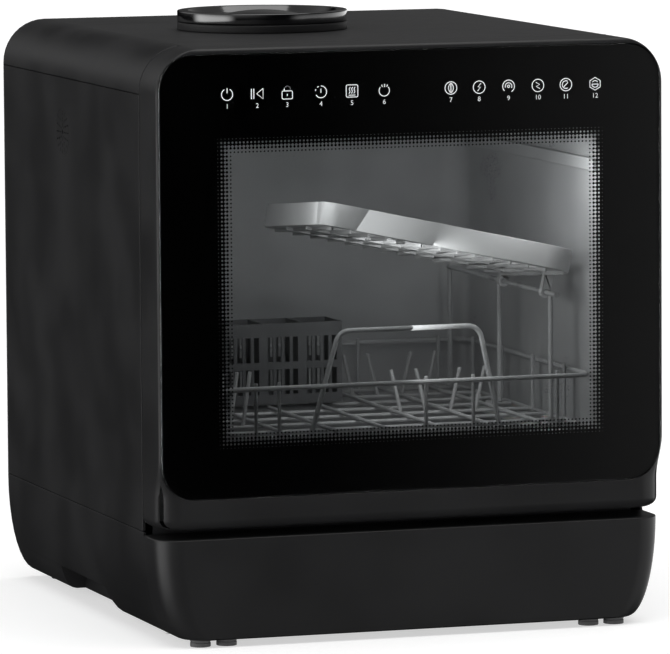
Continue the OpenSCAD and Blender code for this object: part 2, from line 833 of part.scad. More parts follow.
module filler_cap() {
  z0 = collar_top + 0.4;
  z1 = z0 + 8.6;
  dish = 5;
  boss_r = 29;
  dome = [for (k = [arc_steps:-1:0]) let (t = k / arc_steps) [boss_r * t, z1 - 0.2 - 2.8 * t * t]];
  color("#111112") translate([-collar_x, collar_y, 0]) {
    rotate_extrude() polygon(concat([[0, z0 + 1], [throat_r - 3, z0 + 1], [throat_r - 3, z0 - 8],
      [throat_r - 1, z0 - 8], [throat_r - 1, z0], [collar_r - 0.8, z0], [collar_r, z0 + 0.8],
      [collar_r, z1 - 1], [collar_r - 1, z1], [collar_r - 8.5, z1], [collar_r - 13, z1 - dish],
      [boss_r + 0.6, z1 - dish]], dome));
  }
}

// ---- rack ----

cut = 14;
cross = 2 * wr + skin;

// Level rectangle of rods with cut corners, each rod a piece of its own
module wire_loop(x, y0, y1, z, r) {
  miter = r * 0.42 + skin;
  u = miter / sqrt(2);
  for (y = [y0, y1]) rod([-x + cut + miter, y, z], [x - cut - miter, y, z], r);
  for (i = [-x, x]) rod([i, y0 + cut + miter, z], [i, y1 - cut - miter, z], r);
  for (i = [-1, 1]) for (j = [[y0, 1], [y1, -1]])
    rod([i * (x - cut + u), j[0] + j[1] * u, z], [i * (x - u), j[0] + j[1] * (cut - u), z], r);
}

uprights = [-145, -108, -89, 31, 70, 140];
side_uprights = [-106, -33, 40, 110];
inset = rail_r + wr + skin;
floor_x = rack_x - inset - cross;
floor_y0 = rack_y0 + inset + cross;
floor_y1 = rack_y1 - inset - cross;
cross_wires = [-115:40:85];

module rack_rails() {
  z = [floor_z - 1, rail_z + 4];
  color("#9fa1a4") {
    wire_loop(rack_x, rack_y0, rack_y1, rail_z, rail_r);
    wire_loop(floor_x, floor_y0, floor_y1, floor_z, wr);
    for (x = uprights) for (y = [rack_y0 + inset, rack_y1 - inset]) rod([x, y, z[0]], [x, y, z[1]]);
    both_sides() for (y = side_uprights)
      rod([rack_x - inset, y, z[0]], [rack_x - inset, y, z[1]]);
  }
}

module rack_floor() {
  end = wr + skin;
  color("#9fa1a4") {
    for (x = [-126:42:126])
      rod([x, floor_y0 - end, floor_z + cross], [x, floor_y1 + end, floor_z + cross]);
    for (y = cross_wires) rod([end - floor_x, y, floor_z], [floor_x - end, y, floor_z]);
  }
}

module tine(x, y, lean, h) {
  z = floor_z + wr + 0.3;
  rod([x, y, z], [x + lean, y, z + h]);
}

module rack_tines() {
  color("#a8aaad") {
    for (x = [-147, -136.5, -115.5, -105, -94.5]) for (y = [-75, 85]) tine(x, y, 6, 42);
    for (x = [50, 71, 92, 113]) for (y = [-35, 85]) tine(x, y, x < 80 ? -8 : 8, 34);
  }
}

// Wire along a list of points, all in the plane of one side of the rack
module bent_wire(path, r, sides = 8) {
  n = len(path);
  function dir(i) = let (d = path[min(i + 1, n - 1)] - path[max(i - 1, 0)]) d / norm(d);
  rings = [for (i = [0:n - 1]) for (k = [0:sides - 1]) let (a = 360 * k / sides, t = dir(i),
    u = cross([0, 1, 0], t) / norm(cross([0, 1, 0], t)), v = cross(t, u))
    path[i] + r * (cos(a) * u + sin(a) * v)];
  walls = [for (i = [0:n - 2]) for (k = [0:sides - 1]) let (a = i * sides + k,
    b = i * sides + (k + 1) % sides) [a, b, b + sides, a + sides]];
  polyhedron(rings, concat([[for (k = [0:sides - 1]) sides - 1 - k]], walls,
    [[for (k = [0:sides - 1]) (n - 1) * sides + k]]), convexity = 4);
}

module rack_handle() {
  low = floor_z;
  top = 233;
  left = [-64, -43];
  right = [92, 78];
  bend = 13;
  y0 = floor_y0 - inset;
  lean = (rack_y0 + 2 * rail_r + 2 * skin - y0) / (rail_z - low);
  flat = concat(
    [[left[0], low]],
    [for (a = [160:-10:90]) [left[1] + bend + bend * cos(a), top - bend + bend * sin(a)]],
    [for (a = [90:-10:15]) [right[1] - bend + bend * cos(a), top - bend + bend * sin(a)]],
    [[right[0], low]]);
  color("#a4a6a9") bent_wire([for (p = flat) [p[0], y0 + lean * (p[1] - low), p[1]]], rail_r);
}

module rack_glides() {
  foot_y = [-75, 95];
  color("#e4e5e6") both_sides() {
    box(tub_x - 14, tub_x - 4, -110, 112, ledge_z + 0.4, ledge_z + 4);
    for (y = foot_y)
      box(floor_x - 4, floor_x + 4, y - 4, y + 4, ledge_z + 0.4, floor_z - wr - skin);
  }
}

module shelf_posts() {
  color("#a8aaad") {
    for (y = post_y) rod([shelf_x, y, floor_z + wr + skin], [shelf_x, y, shelf_z - rail_r - skin],
      rail_r);
    rod([shelf_x, post_y[0] - 14, shelf_z], [shelf_x, post_y[2] + 3, shelf_z], rail_r);
  }
}

// Outline of the cup shelf, rounder at its lower end
function shelf_outline(shrink) = let (x = [-209, 8], y = [-150, 0], tight = 12, round = 30) concat(
  arc(x[1] - round, y[0] + round, round - shrink, -90, 0),
  arc(x[1] - round, y[1] - round, round - shrink, 0, 90),
  arc(x[0] + tight, y[1] - tight, tight - shrink, 90, 180),
  arc(x[0] + tight, y[0] + tight, tight - shrink, 180, 270));

module cup_shelf() {
  z0 = 6;
  t = 2;
  eye_y = [post_y[0] + 10, post_y[1] - 12];
  slot_y = [[-138, -100], [-92, -54], [-46, -12]];
  color("#c6c8ca") translate([shelf_x, 0, shelf_z]) rotate([0, shelf_tilt, 0]) difference() {
    union() {
      rotate([-shelf_lean, 0, 0]) difference() {
        translate([0, 0, z0]) linear_extrude(rim_h) polygon(shelf_outline(0));
        translate([0, 0, z0 + t]) linear_extrude(rim_h) polygon(shelf_outline(t));
        for (i = [0:11]) for (y = slot_y) box(-195 + 15 * i, -186 + 15 * i, y[0], y[1], z0 - 1,
          z0 + t + 1);
      }
      for (y = eye_y) {
        drum_y(y, y + 6, 0, 0, 4.5);
        box(-4, 4, y, y + 6, 0, z0 + 1 - y * tan(shelf_lean));
      }
    }
    for (y = eye_y) drum_y(y - 1, y + 7, 0, 0, 2.3);
  }
}

module cutlery_basket() {
  x0 = -80;
  x1 = 20;
  y0 = 22;
  y1 = 62;
  z0 = floor_z + 3 * wr + 2 * skin + 0.3;
  z1 = 222;
  t = 1.8;
  cell = (x1 - x0 - t) / 3;
  color("#5a5c5f") difference() {
    box(x0, x1, y0, y1, z0, z1);
    for (i = [0:2]) box(x0 + t + cell * i, x0 + cell * (i + 1), y0 + t, y1 - t, z0 + t, z1 + 1);
    for (i = [0:2]) for (j = [0:3]) for (z = [z0 + 8, z0 + 34])
      box(x0 + 5 + cell * i + 7 * j, x0 + 9 + cell * i + 7 * j, y0 - 1, y1 + 1, z, z + 20);
  }
}

base_shell();
left_side_panel();
right_side_panel();
top_cover();
rear_panel();
rear_screws();
front_fascia();
front_feet();
rear_feet();
side_vent();
filler_collar();
filler_strainer();
filler_duct();
water_tank();
tub_shell();
tub_guides();
tub_seal();
tub_lamp();
hinge_crossbar();
hinge_brackets();
sump();
filter_plate();
filter_cup();
heating_element();
spray_hub();
wash_pump_housing();
wash_pump_motor();
drain_pump_housing();
drain_hose();
drain_spigot();
inlet_valve();
fill_hose();
cord_gland();
main_board();
blower_housing();
latch_housing();
door_switch();
door_frame();
door_glass();
inner_glass();
door_liner();
touch_board();
hinge_cheeks();
hinge_pins();
latch_striker();
spray_arm();
wash_impeller();
drain_impeller();
blower_rotor();
latch_lever();
overflow_float();
filler_cap();
rack_rails();
rack_floor();
rack_tines();
rack_handle();
rack_glides();
shelf_posts();
cup_shelf();
cutlery_basket();
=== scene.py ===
import json
from math import cos, pi, radians, sin, sqrt, tan

import bmesh
import bpy
from bpy.props import FloatProperty, FloatVectorProperty, PointerProperty
from bpy.types import Operator, Panel, PropertyGroup
from mathutils import Matrix, Vector

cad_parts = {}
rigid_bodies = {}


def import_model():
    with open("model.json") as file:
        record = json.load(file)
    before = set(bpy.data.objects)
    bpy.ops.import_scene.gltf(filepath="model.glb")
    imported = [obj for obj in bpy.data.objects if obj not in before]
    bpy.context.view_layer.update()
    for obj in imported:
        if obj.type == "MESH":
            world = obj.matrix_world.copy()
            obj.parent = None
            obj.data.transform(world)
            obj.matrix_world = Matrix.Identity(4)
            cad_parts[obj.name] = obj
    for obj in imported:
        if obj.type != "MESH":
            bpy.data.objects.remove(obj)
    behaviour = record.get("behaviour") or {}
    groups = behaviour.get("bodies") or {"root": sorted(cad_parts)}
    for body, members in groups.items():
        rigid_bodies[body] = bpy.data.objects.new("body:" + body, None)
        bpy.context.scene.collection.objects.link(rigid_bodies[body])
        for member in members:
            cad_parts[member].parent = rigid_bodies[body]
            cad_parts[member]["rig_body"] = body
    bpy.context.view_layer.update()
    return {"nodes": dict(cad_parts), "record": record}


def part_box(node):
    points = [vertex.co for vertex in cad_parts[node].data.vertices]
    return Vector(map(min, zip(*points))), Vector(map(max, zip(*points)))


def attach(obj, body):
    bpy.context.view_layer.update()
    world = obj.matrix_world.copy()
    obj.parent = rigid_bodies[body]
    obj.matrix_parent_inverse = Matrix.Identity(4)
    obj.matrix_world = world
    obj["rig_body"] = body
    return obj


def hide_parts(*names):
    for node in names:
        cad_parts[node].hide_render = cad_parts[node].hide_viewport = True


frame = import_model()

bl_info = {
    "name": "Countertop dishwasher",
    "version": (1, 0, 0),
    "blender": (4, 5, 0),
    "location": "3D Viewport > Sidebar > Dishwasher",
    "description": "Dresses the packed countertop dishwasher with its finished surfaces",
    "category": "Object",
}

MM = 0.001
TAU = 2 * pi
SEAM_ANGLE = radians(32)

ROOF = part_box("top_cover")[1].z
HALF_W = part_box("top_cover")[1].x
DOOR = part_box("door_frame")
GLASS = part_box("door_glass")
FRONT = GLASS[0].y
SLOT_OF = {part["node"]: part["material_slot"] for part in frame["record"]["subparts"]}


# ---------------------------------------------------------------- sizes

def length(name, default, description):
    """A size in millimetres, shown as a length."""
    return FloatProperty(name=name, description=description, default=default * MM, min=0,
                         unit="LENGTH", precision=4)


def colour(name, default, description):
    return FloatVectorProperty(name=name, description=description, default=default, size=3,
                               subtype="COLOR", min=0.0, max=1.0)


def angle(name, degrees, description):
    return FloatProperty(name=name, description=description, default=radians(degrees), unit="ROTATION")


def strength(name, default, description):
    return FloatProperty(name=name, description=description, default=default, min=0)


class CasingSizes(PropertyGroup):
    edge: length("Panel edge", 0.5, "Rounding of the panel edges")
    belly_in: length("Belly", 23, "How far the sides curve in at the bottom")
    belly_top: length("Belly top", 84, "Height at which the sides begin to curve in")
    front_corner: length("Front corner", 20, "Plan radius of the fascia's upright corners")
    shell: length("Shell", 2.5, "Thickness of the plastic shells")
    black: colour("Casing black", (0.0125, 0.0125, 0.0131), "Moulded black of the casing")


class DoorSizes(PropertyGroup):
    corner: length("Upper corner", 35, "Radius of the upper corners, seen from the front")
    low_corner: length("Lower corner", 8, "Radius of the lower corners, seen from the front")
    low_edge: length("Lower edge", 8, "Rounding of the front lower edge")
    top_edge: length("Top edge", 3, "Rounding of the front top edge")
    wide_edge: length("Wide edge", 18, "Plan radius of the upright edges under the glass")
    slim_edge: length("Slim edge", 3, "Plan radius of the upright edges beside the glass")
    blend: length("Blend", 34, "Height over which the wide edge turns into the slim one")
    glass_corner: length("Glass corner", 27, "Radius of the glass corners")
    glass_edge: length("Glass edge", 0.7, "Ground edge of the glass")
    window_x: length("Window half width", 162, "Half the width of the opening in the frame")
    window_low: length("Window bottom", 147, "Lower edge of the opening in the frame")
    window_high: length("Window top", 396, "Upper edge of the opening in the frame")


class PrintSizes(PropertyGroup):
    pitch: length("Dot pitch", 3, "Distance between the dots of the printed border")
    half_w: length("Border half width", 156, "Half the width of the printed border, outside")
    low: length("Border bottom", 153, "Lower edge of the printed border")
    high: length("Border top", 390, "Upper edge of the printed border")
    band: length("Border band", 13.5, "Width over which the dots open up")
    sign: length("Sign radius", 4.9, "Radius of the round touch signs")
    stroke: length("Stroke", 0.42, "Half the width of a sign's line")
    row_z: length("Sign row", 423.6, "Height of the row of touch signs")
    number_z: length("Number row", 414.4, "Height of the row of numbers")
    number: length("Number size", 5.2, "Height of the numbers")


class FillerSizes(PropertyGroup):
    lip: length("Lip", 1.0, "Rounding of the rims")
    dish: length("Dish", 5, "Depth of the dish in the cap")
    boss: length("Boss", 29, "Radius of the raised ring inside the dish")


class RackSizes(PropertyGroup):
    bend: length("Wire bend", 14, "Bend radius of the wire loops")
    wire: length("Wire", 1.5, "Radius of the thin wires")
    rail: length("Rail", 2.0, "Radius of the rail and the handle")
    foot: length("Foot", 14, "How far an upright hooks under the floor of the rack")
    rim: length("Shelf rim", 18, "Height of the rim of the cup shelf")
    tilt: angle("Shelf tilt", 12.3, "Slope of the cup shelf to the side")
    lean: angle("Shelf lean", 5.5, "Slope of the cup shelf to the back")
    grey: colour("Wire grey", (0.36, 0.365, 0.37), "Coating of the wires")


class StageSizes(PropertyGroup):
    camera_at: FloatVectorProperty(name="Camera", default=(-1.6752, -5.0763, 0.7797), unit="LENGTH",
                                   description="Place of the camera")
    yaw: angle("Yaw", 18.34, "Turn of the camera to the right")
    pitch: angle("Pitch", 5.98, "Downward tilt of the camera")
    roll: angle("Roll", 0.3782, "Roll of the camera")
    lens: FloatProperty(name="Lens", default=361.6, description="Focal length in millimetres",
                        subtype="DISTANCE_CAMERA")
    sun: strength("Sun", 2.0, "Strength of the soft key light")
    overhead: strength("Overhead", 0.3, "Light from above")
    back: strength("Back", 0.2, "Light of the wall behind on the right")
    left: strength("Left", 1.1, "Light of the wall on the left")
    right: strength("Right", 1.6, "Light of the low screen on the right")
    edge: strength("Edge", 5.0, "Light of the low screen on the left")
    lamp: FloatProperty(name="Tub light", default=1.0, unit="POWER",
                        description="Power that the lights in the tub share")


SIZE_GROUPS = {
    "dw_casing": CasingSizes,
    "dw_door": DoorSizes,
    "dw_print": PrintSizes,
    "dw_filler": FillerSizes,
    "dw_rack": RackSizes,
    "dw_stage": StageSizes,
}


# ---------------------------------------------------------------- mesh helpers

def new_ring(bm, points):
    """Adds points as a closed chain of edges and returns the edges."""
    verts = [bm.verts.new(p) for p in points]
    return [bm.edges.new(pair) for pair in zip(verts, verts[1:] + verts[:1])]


def clean(bm):
    bmesh.ops.remove_doubles(bm, verts=bm.verts, dist=1e-6)
    bmesh.ops.recalc_face_normals(bm, faces=bm.faces)


def lofted(rings):
    """A closed solid: a row of rings, each bridged to the next, with both ends capped."""
    bm = bmesh.new()
    chains = [new_ring(bm, points) for points in rings]
    for one, other in zip(chains, chains[1:]):
        bmesh.ops.bridge_loops(bm, edges=one + other)
    for end in (chains[0], chains[-1]):
        bmesh.ops.contextual_create(bm, geom=end)
    clean(bm)
    return bm


def prism(outline, direction):
    """A closed solid: a flat outline extruded along a direction."""
    bm = bmesh.new()
    face = bm.faces.new([bm.verts.new(p) for p in outline])
    moved = bmesh.ops.extrude_face_region(bm, geom=[face], use_keep_orig=True)["geom"]
    bmesh.ops.translate(bm, vec=direction, verts=[g for g in moved if isinstance(g, bmesh.types.BMVert)])
    clean(bm)
    return bm


def block(bm, low, high):
    """A box between two corners."""
    size = Vector(high) - Vector(low)
    place = Matrix.Translation((Vector(low) + Vector(high)) / 2) @ Matrix.Diagonal((*size, 1))
    return bmesh.ops.create_cube(bm, size=1, matrix=place)["verts"]


def drum(bm, centre, radius, depth):
    """A cylinder around its centre, along Y."""
    place_at = Matrix.Translation(centre) @ Matrix.Rotation(pi / 2, 4, "X")
    bmesh.ops.create_cone(bm, cap_ends=True, segments=48, radius1=radius, radius2=radius, depth=depth,
                          matrix=place_at)


def turned(bm, profile, centre, steps=96):
    """Spins a profile of (radius, height) points about an upright axis."""
    verts = [bm.verts.new((centre[0] + r, centre[1], z)) for r, z in profile]
    edges = [bm.edges.new(pair) for pair in zip(verts, verts[1:])]
    bmesh.ops.spin(bm, geom=verts + edges, cent=(centre[0], centre[1], 0), axis=(0, 0, 1),
                   angle=TAU, steps=steps, use_merge=True)
    clean(bm)


def arc(cx, cy, radius, start, end, steps=8):
    """Points of an arc in a plane, angles in degrees."""
    angles = [radians(start + (end - start) * k / steps) for k in range(steps + 1)]
    return [(cx + radius * cos(a), cy + radius * sin(a)) for a in angles]


def rounded(x0, x1, y0, y1, low, high, steps=8):
    """Rectangle with one radius on the lower corners and another on the upper ones."""
    return (arc(x1 - low, y0 + low, low, -90, 0, steps)
            + arc(x1 - high, y1 - high, high, 0, 90, steps)
            + arc(x0 + high, y1 - high, high, 90, 180, steps)
            + arc(x0 + low, y0 + low, low, 180, 270, steps))


def fillet(corners, radius, closed=False, steps=6):
    """A wire's centreline through corners, each bent to a radius."""
    corners = [Vector(c) for c in corners]
    count = len(corners)
    path = []
    for i, corner in enumerate(corners):
        if not closed and i in (0, count - 1):
            path.append(corner)
            continue
        back, ahead = corners[i - 1] - corner, corners[(i + 1) % count] - corner
        half = back.angle(ahead) / 2
        reach = min(radius / tan(half), back.length * 0.49, ahead.length * 0.49)
        start, end = corner + back.normalized() * reach, corner + ahead.normalized() * reach
        for k in range(steps + 1):
            t = k / steps
            path.append(start * (1 - t) ** 2 + corner * 2 * t * (1 - t) + end * t * t)
    return path


def rounded_profile(corners, radius, closed=False, steps=4):
    """A profile of (radius, height) points whose inner corners are rounded."""
    return [(p.x, p.y) for p in fillet([(*c, 0) for c in corners], radius, closed, steps)]


def looped(points):
    return points + points[:1]


def evaluated_mesh(obj):
    bpy.context.view_layer.update()
    graph = bpy.context.evaluated_depsgraph_get()
    return bpy.data.meshes.new_from_object(obj.evaluated_get(graph), depsgraph=graph)


def linked(name, data):
    """A new object in the scene."""
    obj = bpy.data.objects.new(name, data)
    bpy.context.scene.collection.objects.link(obj)
    return obj


def object_from(bm, name):
    mesh = bpy.data.meshes.new(name)
    bm.to_mesh(mesh)
    bm.free()
    return linked(name, mesh)


def carve(obj, bm, operation="DIFFERENCE"):
    """Cuts the closed solids of a bmesh out of a piece, and keeps the result as its mesh."""
    tool = object_from(bm, obj.name + "_cut")
    cut = obj.modifiers.new("cut", "BOOLEAN")
    cut.object = tool
    cut.operation = operation
    cut.solver = "EXACT"
    cut.use_self = operation == "UNION"
    mesh = evaluated_mesh(obj)
    obj.modifiers.clear()
    old, obj.data = obj.data, mesh
    bpy.data.meshes.remove(old)
    bpy.data.objects.remove(tool)


def wire_mesh(name, wires, radius, closed=False, sides=3):
    """Round wires along lists of points, as one mesh."""
    data = bpy.data.curves.new(name, "CURVE")
    data.dimensions = "3D"
    data.bevel_depth = radius
    data.bevel_resolution = sides
    data.use_fill_caps = True
    for path in wires:
        spline = data.splines.new("POLY")
        spline.points.add(len(path) - 1)
        for point, place in zip(spline.points, path):
            point.co = (*place, 1)
        spline.use_cyclic_u = closed
    obj = linked(name, data)
    mesh = evaluated_mesh(obj)
    bpy.data.objects.remove(obj)
    bpy.data.curves.remove(data)
    return mesh


def soften(obj, width):
    """Rounds the sharp edges of a piece."""
    bevel = obj.modifiers.new("edges", "BEVEL")
    bevel.width = width
    bevel.segments = 2
    bevel.limit_method = "ANGLE"
    bevel.angle_limit = SEAM_ANGLE
    bevel.use_clamp_overlap = False
    bevel.harden_normals = True


def place(obj, node, finish=None, edge=0.0, replaces=True):
    """Gives a finished piece its surface and its body, and lets it stand for its node."""
    obj.data.shade_smooth()
    obj.data.set_sharp_from_angle(angle=SEAM_ANGLE)
    if edge:
        soften(obj, edge)
    obj.data.materials.clear()
    obj.data.materials.append(FINISHES[finish or SLOT_OF[node]])
    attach(obj, frame["nodes"][node]["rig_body"])
    if replaces:
        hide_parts(node)
    return obj


def merged_copy(node):
    """The CAD mesh of a node with its loose triangles merged and flat faces joined."""
    bm = bmesh.new()
    bm.from_mesh(frame["nodes"][node].data)
    bmesh.ops.remove_doubles(bm, verts=bm.verts, dist=2e-6)
    bmesh.ops.dissolve_limit(bm, angle_limit=radians(0.4), verts=bm.verts, edges=bm.edges)
    return bm


def dress(node, name, edge=0.0, finish=None):
    """Stands a copy of a CAD part, with softened edges, in for the node."""
    return place(object_from(merged_copy(node), name), node, finish, edge)


def dress_all(rows):
    """Dresses nodes from rows of a node, the name of its piece and an edge rounding in millimetres."""
    for node, name, edge in rows:
        dress(node, name, edge * MM)


# ---------------------------------------------------------------- finishes

FINISHES = {}


def feed(tree, socket, value):
    """Links a socket to another one, or sets its value."""
    if isinstance(value, bpy.types.NodeSocket):
        tree.links.new(value, socket)
    else:
        socket.default_value = value


def add(tree, kind, values=None, **settings):
    node = tree.nodes.new("ShaderNode" + kind)
    for key, value in settings.items():
        setattr(node, key, value)
    for key, value in (values or {}).items():
        feed(tree, node.inputs[key], value)
    return node


def calc(tree, operation, *values, clamp=False):
    node = add(tree, "Math", operation=operation, use_clamp=clamp)
    for socket, value in zip(node.inputs, values):
        feed(tree, socket, value)
    return node.outputs[0]


def mix_colours(tree, factor, first, second):
    node = add(tree, "Mix", data_type="RGBA")
    for index, value in ((0, factor), (6, first), (7, second)):
        feed(tree, node.inputs[index], value)
    return node.outputs[2]


def open_group(name, inputs, outputs):
    """Starts a shader node group with named sockets."""
    tree = bpy.data.node_groups.new(name, "ShaderNodeTree")
    for label, kind, value in inputs:
        socket = tree.interface.new_socket(label, in_out="INPUT", socket_type="NodeSocket" + kind)
        if value is not None:
            socket.default_value = value
    for label, kind in outputs:
        tree.interface.new_socket(label, in_out="OUTPUT", socket_type="NodeSocket" + kind)
    return tree, tree.nodes.new("NodeGroupInput").outputs, tree.nodes.new("NodeGroupOutput").inputs


def moulded_group():
    """Spark-eroded grain of moulded plastic, with faint cloudy patches."""
    tree, given, out = open_group("moulded_surface", [
        ("Vector", "Vector", None), ("Colour", "Color", (0.5, 0.5, 0.5, 1)),
        ("Cloud Colour", "Color", (0.5, 0.5, 0.5, 1)), ("Grain", "Float", 1400.0),
        ("Cloud", "Float", 14.0), ("Roughness", "Float", 0.4), ("Spread", "Float", 0.1),
    ], [("Colour", "Color"), ("Roughness", "Float"), ("Height", "Float")])
    fine = add(tree, "TexNoise", {"Vector": given["Vector"], "Scale": given["Grain"], "Detail": 3.0})
    pits = add(tree, "TexVoronoi", {"Vector": given["Vector"], "Scale": given["Grain"]})
    cloud = add(tree, "TexNoise", {"Vector": given["Vector"], "Scale": given["Cloud"], "Detail": 2.0})
    soft = add(tree, "MapRange", {"Value": cloud.outputs[0], "From Min": 0.35, "From Max": 0.65})
    tint = mix_colours(tree, soft.outputs[0], given["Colour"], given["Cloud Colour"])
    tree.links.new(tint, out["Colour"])
    swing = calc(tree, "SUBTRACT", calc(tree, "ADD", fine.outputs[0], soft.outputs[0]), 1.0)
    spread = calc(tree, "MULTIPLY", swing, given["Spread"])
    rough = calc(tree, "ADD", given["Roughness"], spread, clamp=True)
    tree.links.new(rough, out["Roughness"])
    tree.links.new(calc(tree, "ADD", fine.outputs[0], calc(tree, "MULTIPLY", pits.outputs[0], 0.4)),
                   out["Height"])
    return tree


def brushed_group():
    """Fine lines drawn along one direction, as on drawn or brushed metal."""
    tree, given, out = open_group("drawn_metal", [
        ("Vector", "Vector", None), ("Colour", "Color", (0.5, 0.5, 0.5, 1)),
        ("Dark", "Color", (0.3, 0.3, 0.3, 1)), ("Stretch", "Vector", (40.0, 900.0, 900.0)),
        ("Roughness", "Float", 0.3),
    ], [("Colour", "Color"), ("Roughness", "Float"), ("Height", "Float")])
    drawn = add(tree, "VectorMath", operation="MULTIPLY")
    feed(tree, drawn.inputs[0], given["Vector"])
    feed(tree, drawn.inputs[1], given["Stretch"])
    lines = add(tree, "TexNoise", {"Vector": drawn.outputs[0], "Scale": 1.0, "Detail": 4.0})
    tree.links.new(mix_colours(tree, lines.outputs[0], given["Dark"], given["Colour"]), out["Colour"])
    swing = calc(tree, "MULTIPLY", calc(tree, "SUBTRACT", lines.outputs[0], 0.5), 0.3)
    tree.links.new(calc(tree, "ADD", given["Roughness"], swing, clamp=True), out["Roughness"])
    tree.links.new(lines.outputs[0], out["Height"])
    return tree


def dust_group():
    """A thin film of dust that settles on faces that look up."""
    tree, given, out = open_group("settled_dust", [
        ("Vector", "Vector", None), ("Normal", "Vector", None), ("Colour", "Color", (0, 0, 0, 1)),
        ("Dust", "Color", (0.1, 0.1, 0.1, 1)), ("Amount", "Float", 0.2),
    ], [("Colour", "Color"), ("Mask", "Float")])
    up = add(tree, "SeparateXYZ")
    feed(tree, up.inputs[0], given["Normal"])
    faces_up = calc(tree, "POWER", calc(tree, "MAXIMUM", up.outputs[2], 0.0), 6.0)
    specks = add(tree, "TexNoise", {"Vector": given["Vector"], "Scale": 60.0, "Detail": 6.0})
    mask = calc(tree, "MULTIPLY", calc(tree, "MULTIPLY", faces_up, specks.outputs[0]), given["Amount"],
                clamp=True)
    tree.links.new(mix_colours(tree, mask, given["Colour"], given["Dust"]), out["Colour"])
    tree.links.new(mask, out["Mask"])
    return tree


def dots_group():
    """Printed border whose dots open from closed at its outer edge to clear inside."""
    tree, given, out = open_group("dot_border", [
        ("Vector", "Vector", None), ("Pitch", "Float", 0.003), ("Half Width", "Float", 0.156),
        ("Low", "Float", 0.153), ("High", "Float", 0.39), ("Band", "Float", 0.012),
    ], [("Clear", "Float")])
    at = add(tree, "SeparateXYZ")
    feed(tree, at.inputs[0], given["Vector"])
    side = calc(tree, "SUBTRACT", given["Half Width"], calc(tree, "ABSOLUTE", at.outputs[0]))
    ends = calc(tree, "MINIMUM", calc(tree, "SUBTRACT", at.outputs[2], given["Low"]),
                calc(tree, "SUBTRACT", given["High"], at.outputs[2]))
    inside = calc(tree, "DIVIDE", calc(tree, "MINIMUM", side, ends), given["Band"])
    wave = calc(tree, "DIVIDE", TAU, given["Pitch"])
    lattice = calc(tree, "ADD", *(calc(tree, "COSINE", calc(tree, "MULTIPLY", at.outputs[k], wave))
                                  for k in (0, 2)))
    closed = calc(tree, "SUBTRACT", 1.72, calc(tree, "MULTIPLY", inside, 3.75))
    open_dot = calc(tree, "GREATER_THAN", lattice, closed)
    within = calc(tree, "GREATER_THAN", inside, 0.0)
    tree.links.new(calc(tree, "MULTIPLY", open_dot, within), out["Clear"])
    return tree


def use_group(tree, group, values):
    node = tree.nodes.new("ShaderNodeGroup")
    node.node_tree = group
    for key, value in values.items():
        feed(tree, node.inputs[key], value)
    return node


def start(name, **settings):
    """A new material with its shader's constants set, and the object's own coordinates."""
    material = bpy.data.materials.new(name)
    material.use_nodes = True
    tree = material.node_tree
    shader = tree.nodes["Principled BSDF"]
    for key, value in settings.items():
        shader.inputs[key.replace("_", " ")].default_value = value
    where = add(tree, "TexCoord")
    FINISHES[name] = material
    return tree, shader, where.outputs["Object"], where.outputs["Normal"]


def surface(tree, shader, tint, roughness=None, height=None, depth=0.0):
    """Links what varies over a surface to its shader."""
    tree.links.new(tint, shader.inputs["Base Color"])
    if roughness is not None:
        tree.links.new(roughness, shader.inputs["Roughness"])
    if height is not None:
        bump = add(tree, "Bump", {"Strength": 1.0, "Distance": depth, "Height": height})
        tree.links.new(bump.outputs[0], shader.inputs["Normal"])


def moulded(name, groups, colour_at, roughness, cloud=1.25, grain=1400.0, depth=0.00002, spread=0.1,
            dust=0.0, **settings):
    """Moulded plastic or rubber, with grain, cloudy patches and a little dust on top."""
    tree, shader, where, normal = start(name, **settings)
    grained = use_group(tree, groups["moulded"], {
        "Vector": where, "Colour": (*colour_at, 1), "Cloud Colour": (*(c * cloud for c in colour_at), 1),
        "Grain": grain, "Roughness": roughness, "Spread": spread})
    tint = grained.outputs["Colour"]
    if dust:
        film = use_group(tree, groups["dust"], {"Vector": where, "Normal": normal, "Colour": tint,
                                                "Amount": dust})
        tint = film.outputs["Colour"]
    surface(tree, shader, tint, grained.outputs["Roughness"], grained.outputs["Height"], depth)


def drawn_steel(name, groups, tint, stretch):
    tree, shader, where, _ = start(name, Metallic=1.0)
    metal = use_group(tree, groups["brushed"], {
        "Vector": where, "Colour": (*tint, 1), "Dark": (*(c * 0.75 for c in tint), 1),
        "Stretch": stretch})
    surface(tree, shader, metal.outputs["Colour"], metal.outputs["Roughness"],
            metal.outputs["Height"], 0.00001)


def clear_glass(name, specular):
    """Clear tempered glass with the faintest smear."""
    tree, shader, where, _ = start(name, Transmission_Weight=1.0, IOR=1.45, Specular_IOR_Level=specular)
    smear = add(tree, "TexNoise", {"Vector": where, "Scale": 9.0, "Detail": 3.0})
    film = add(tree, "MapRange", {"Value": smear.outputs[0], "From Min": 0.45, "From Max": 0.7,
                                  "To Min": 0.0, "To Max": 0.008})
    tint = mix_colours(tree, smear.outputs[0], (0.96, 0.98, 0.98, 1), (1, 1, 1, 1))
    surface(tree, shader, tint, film.outputs[0])


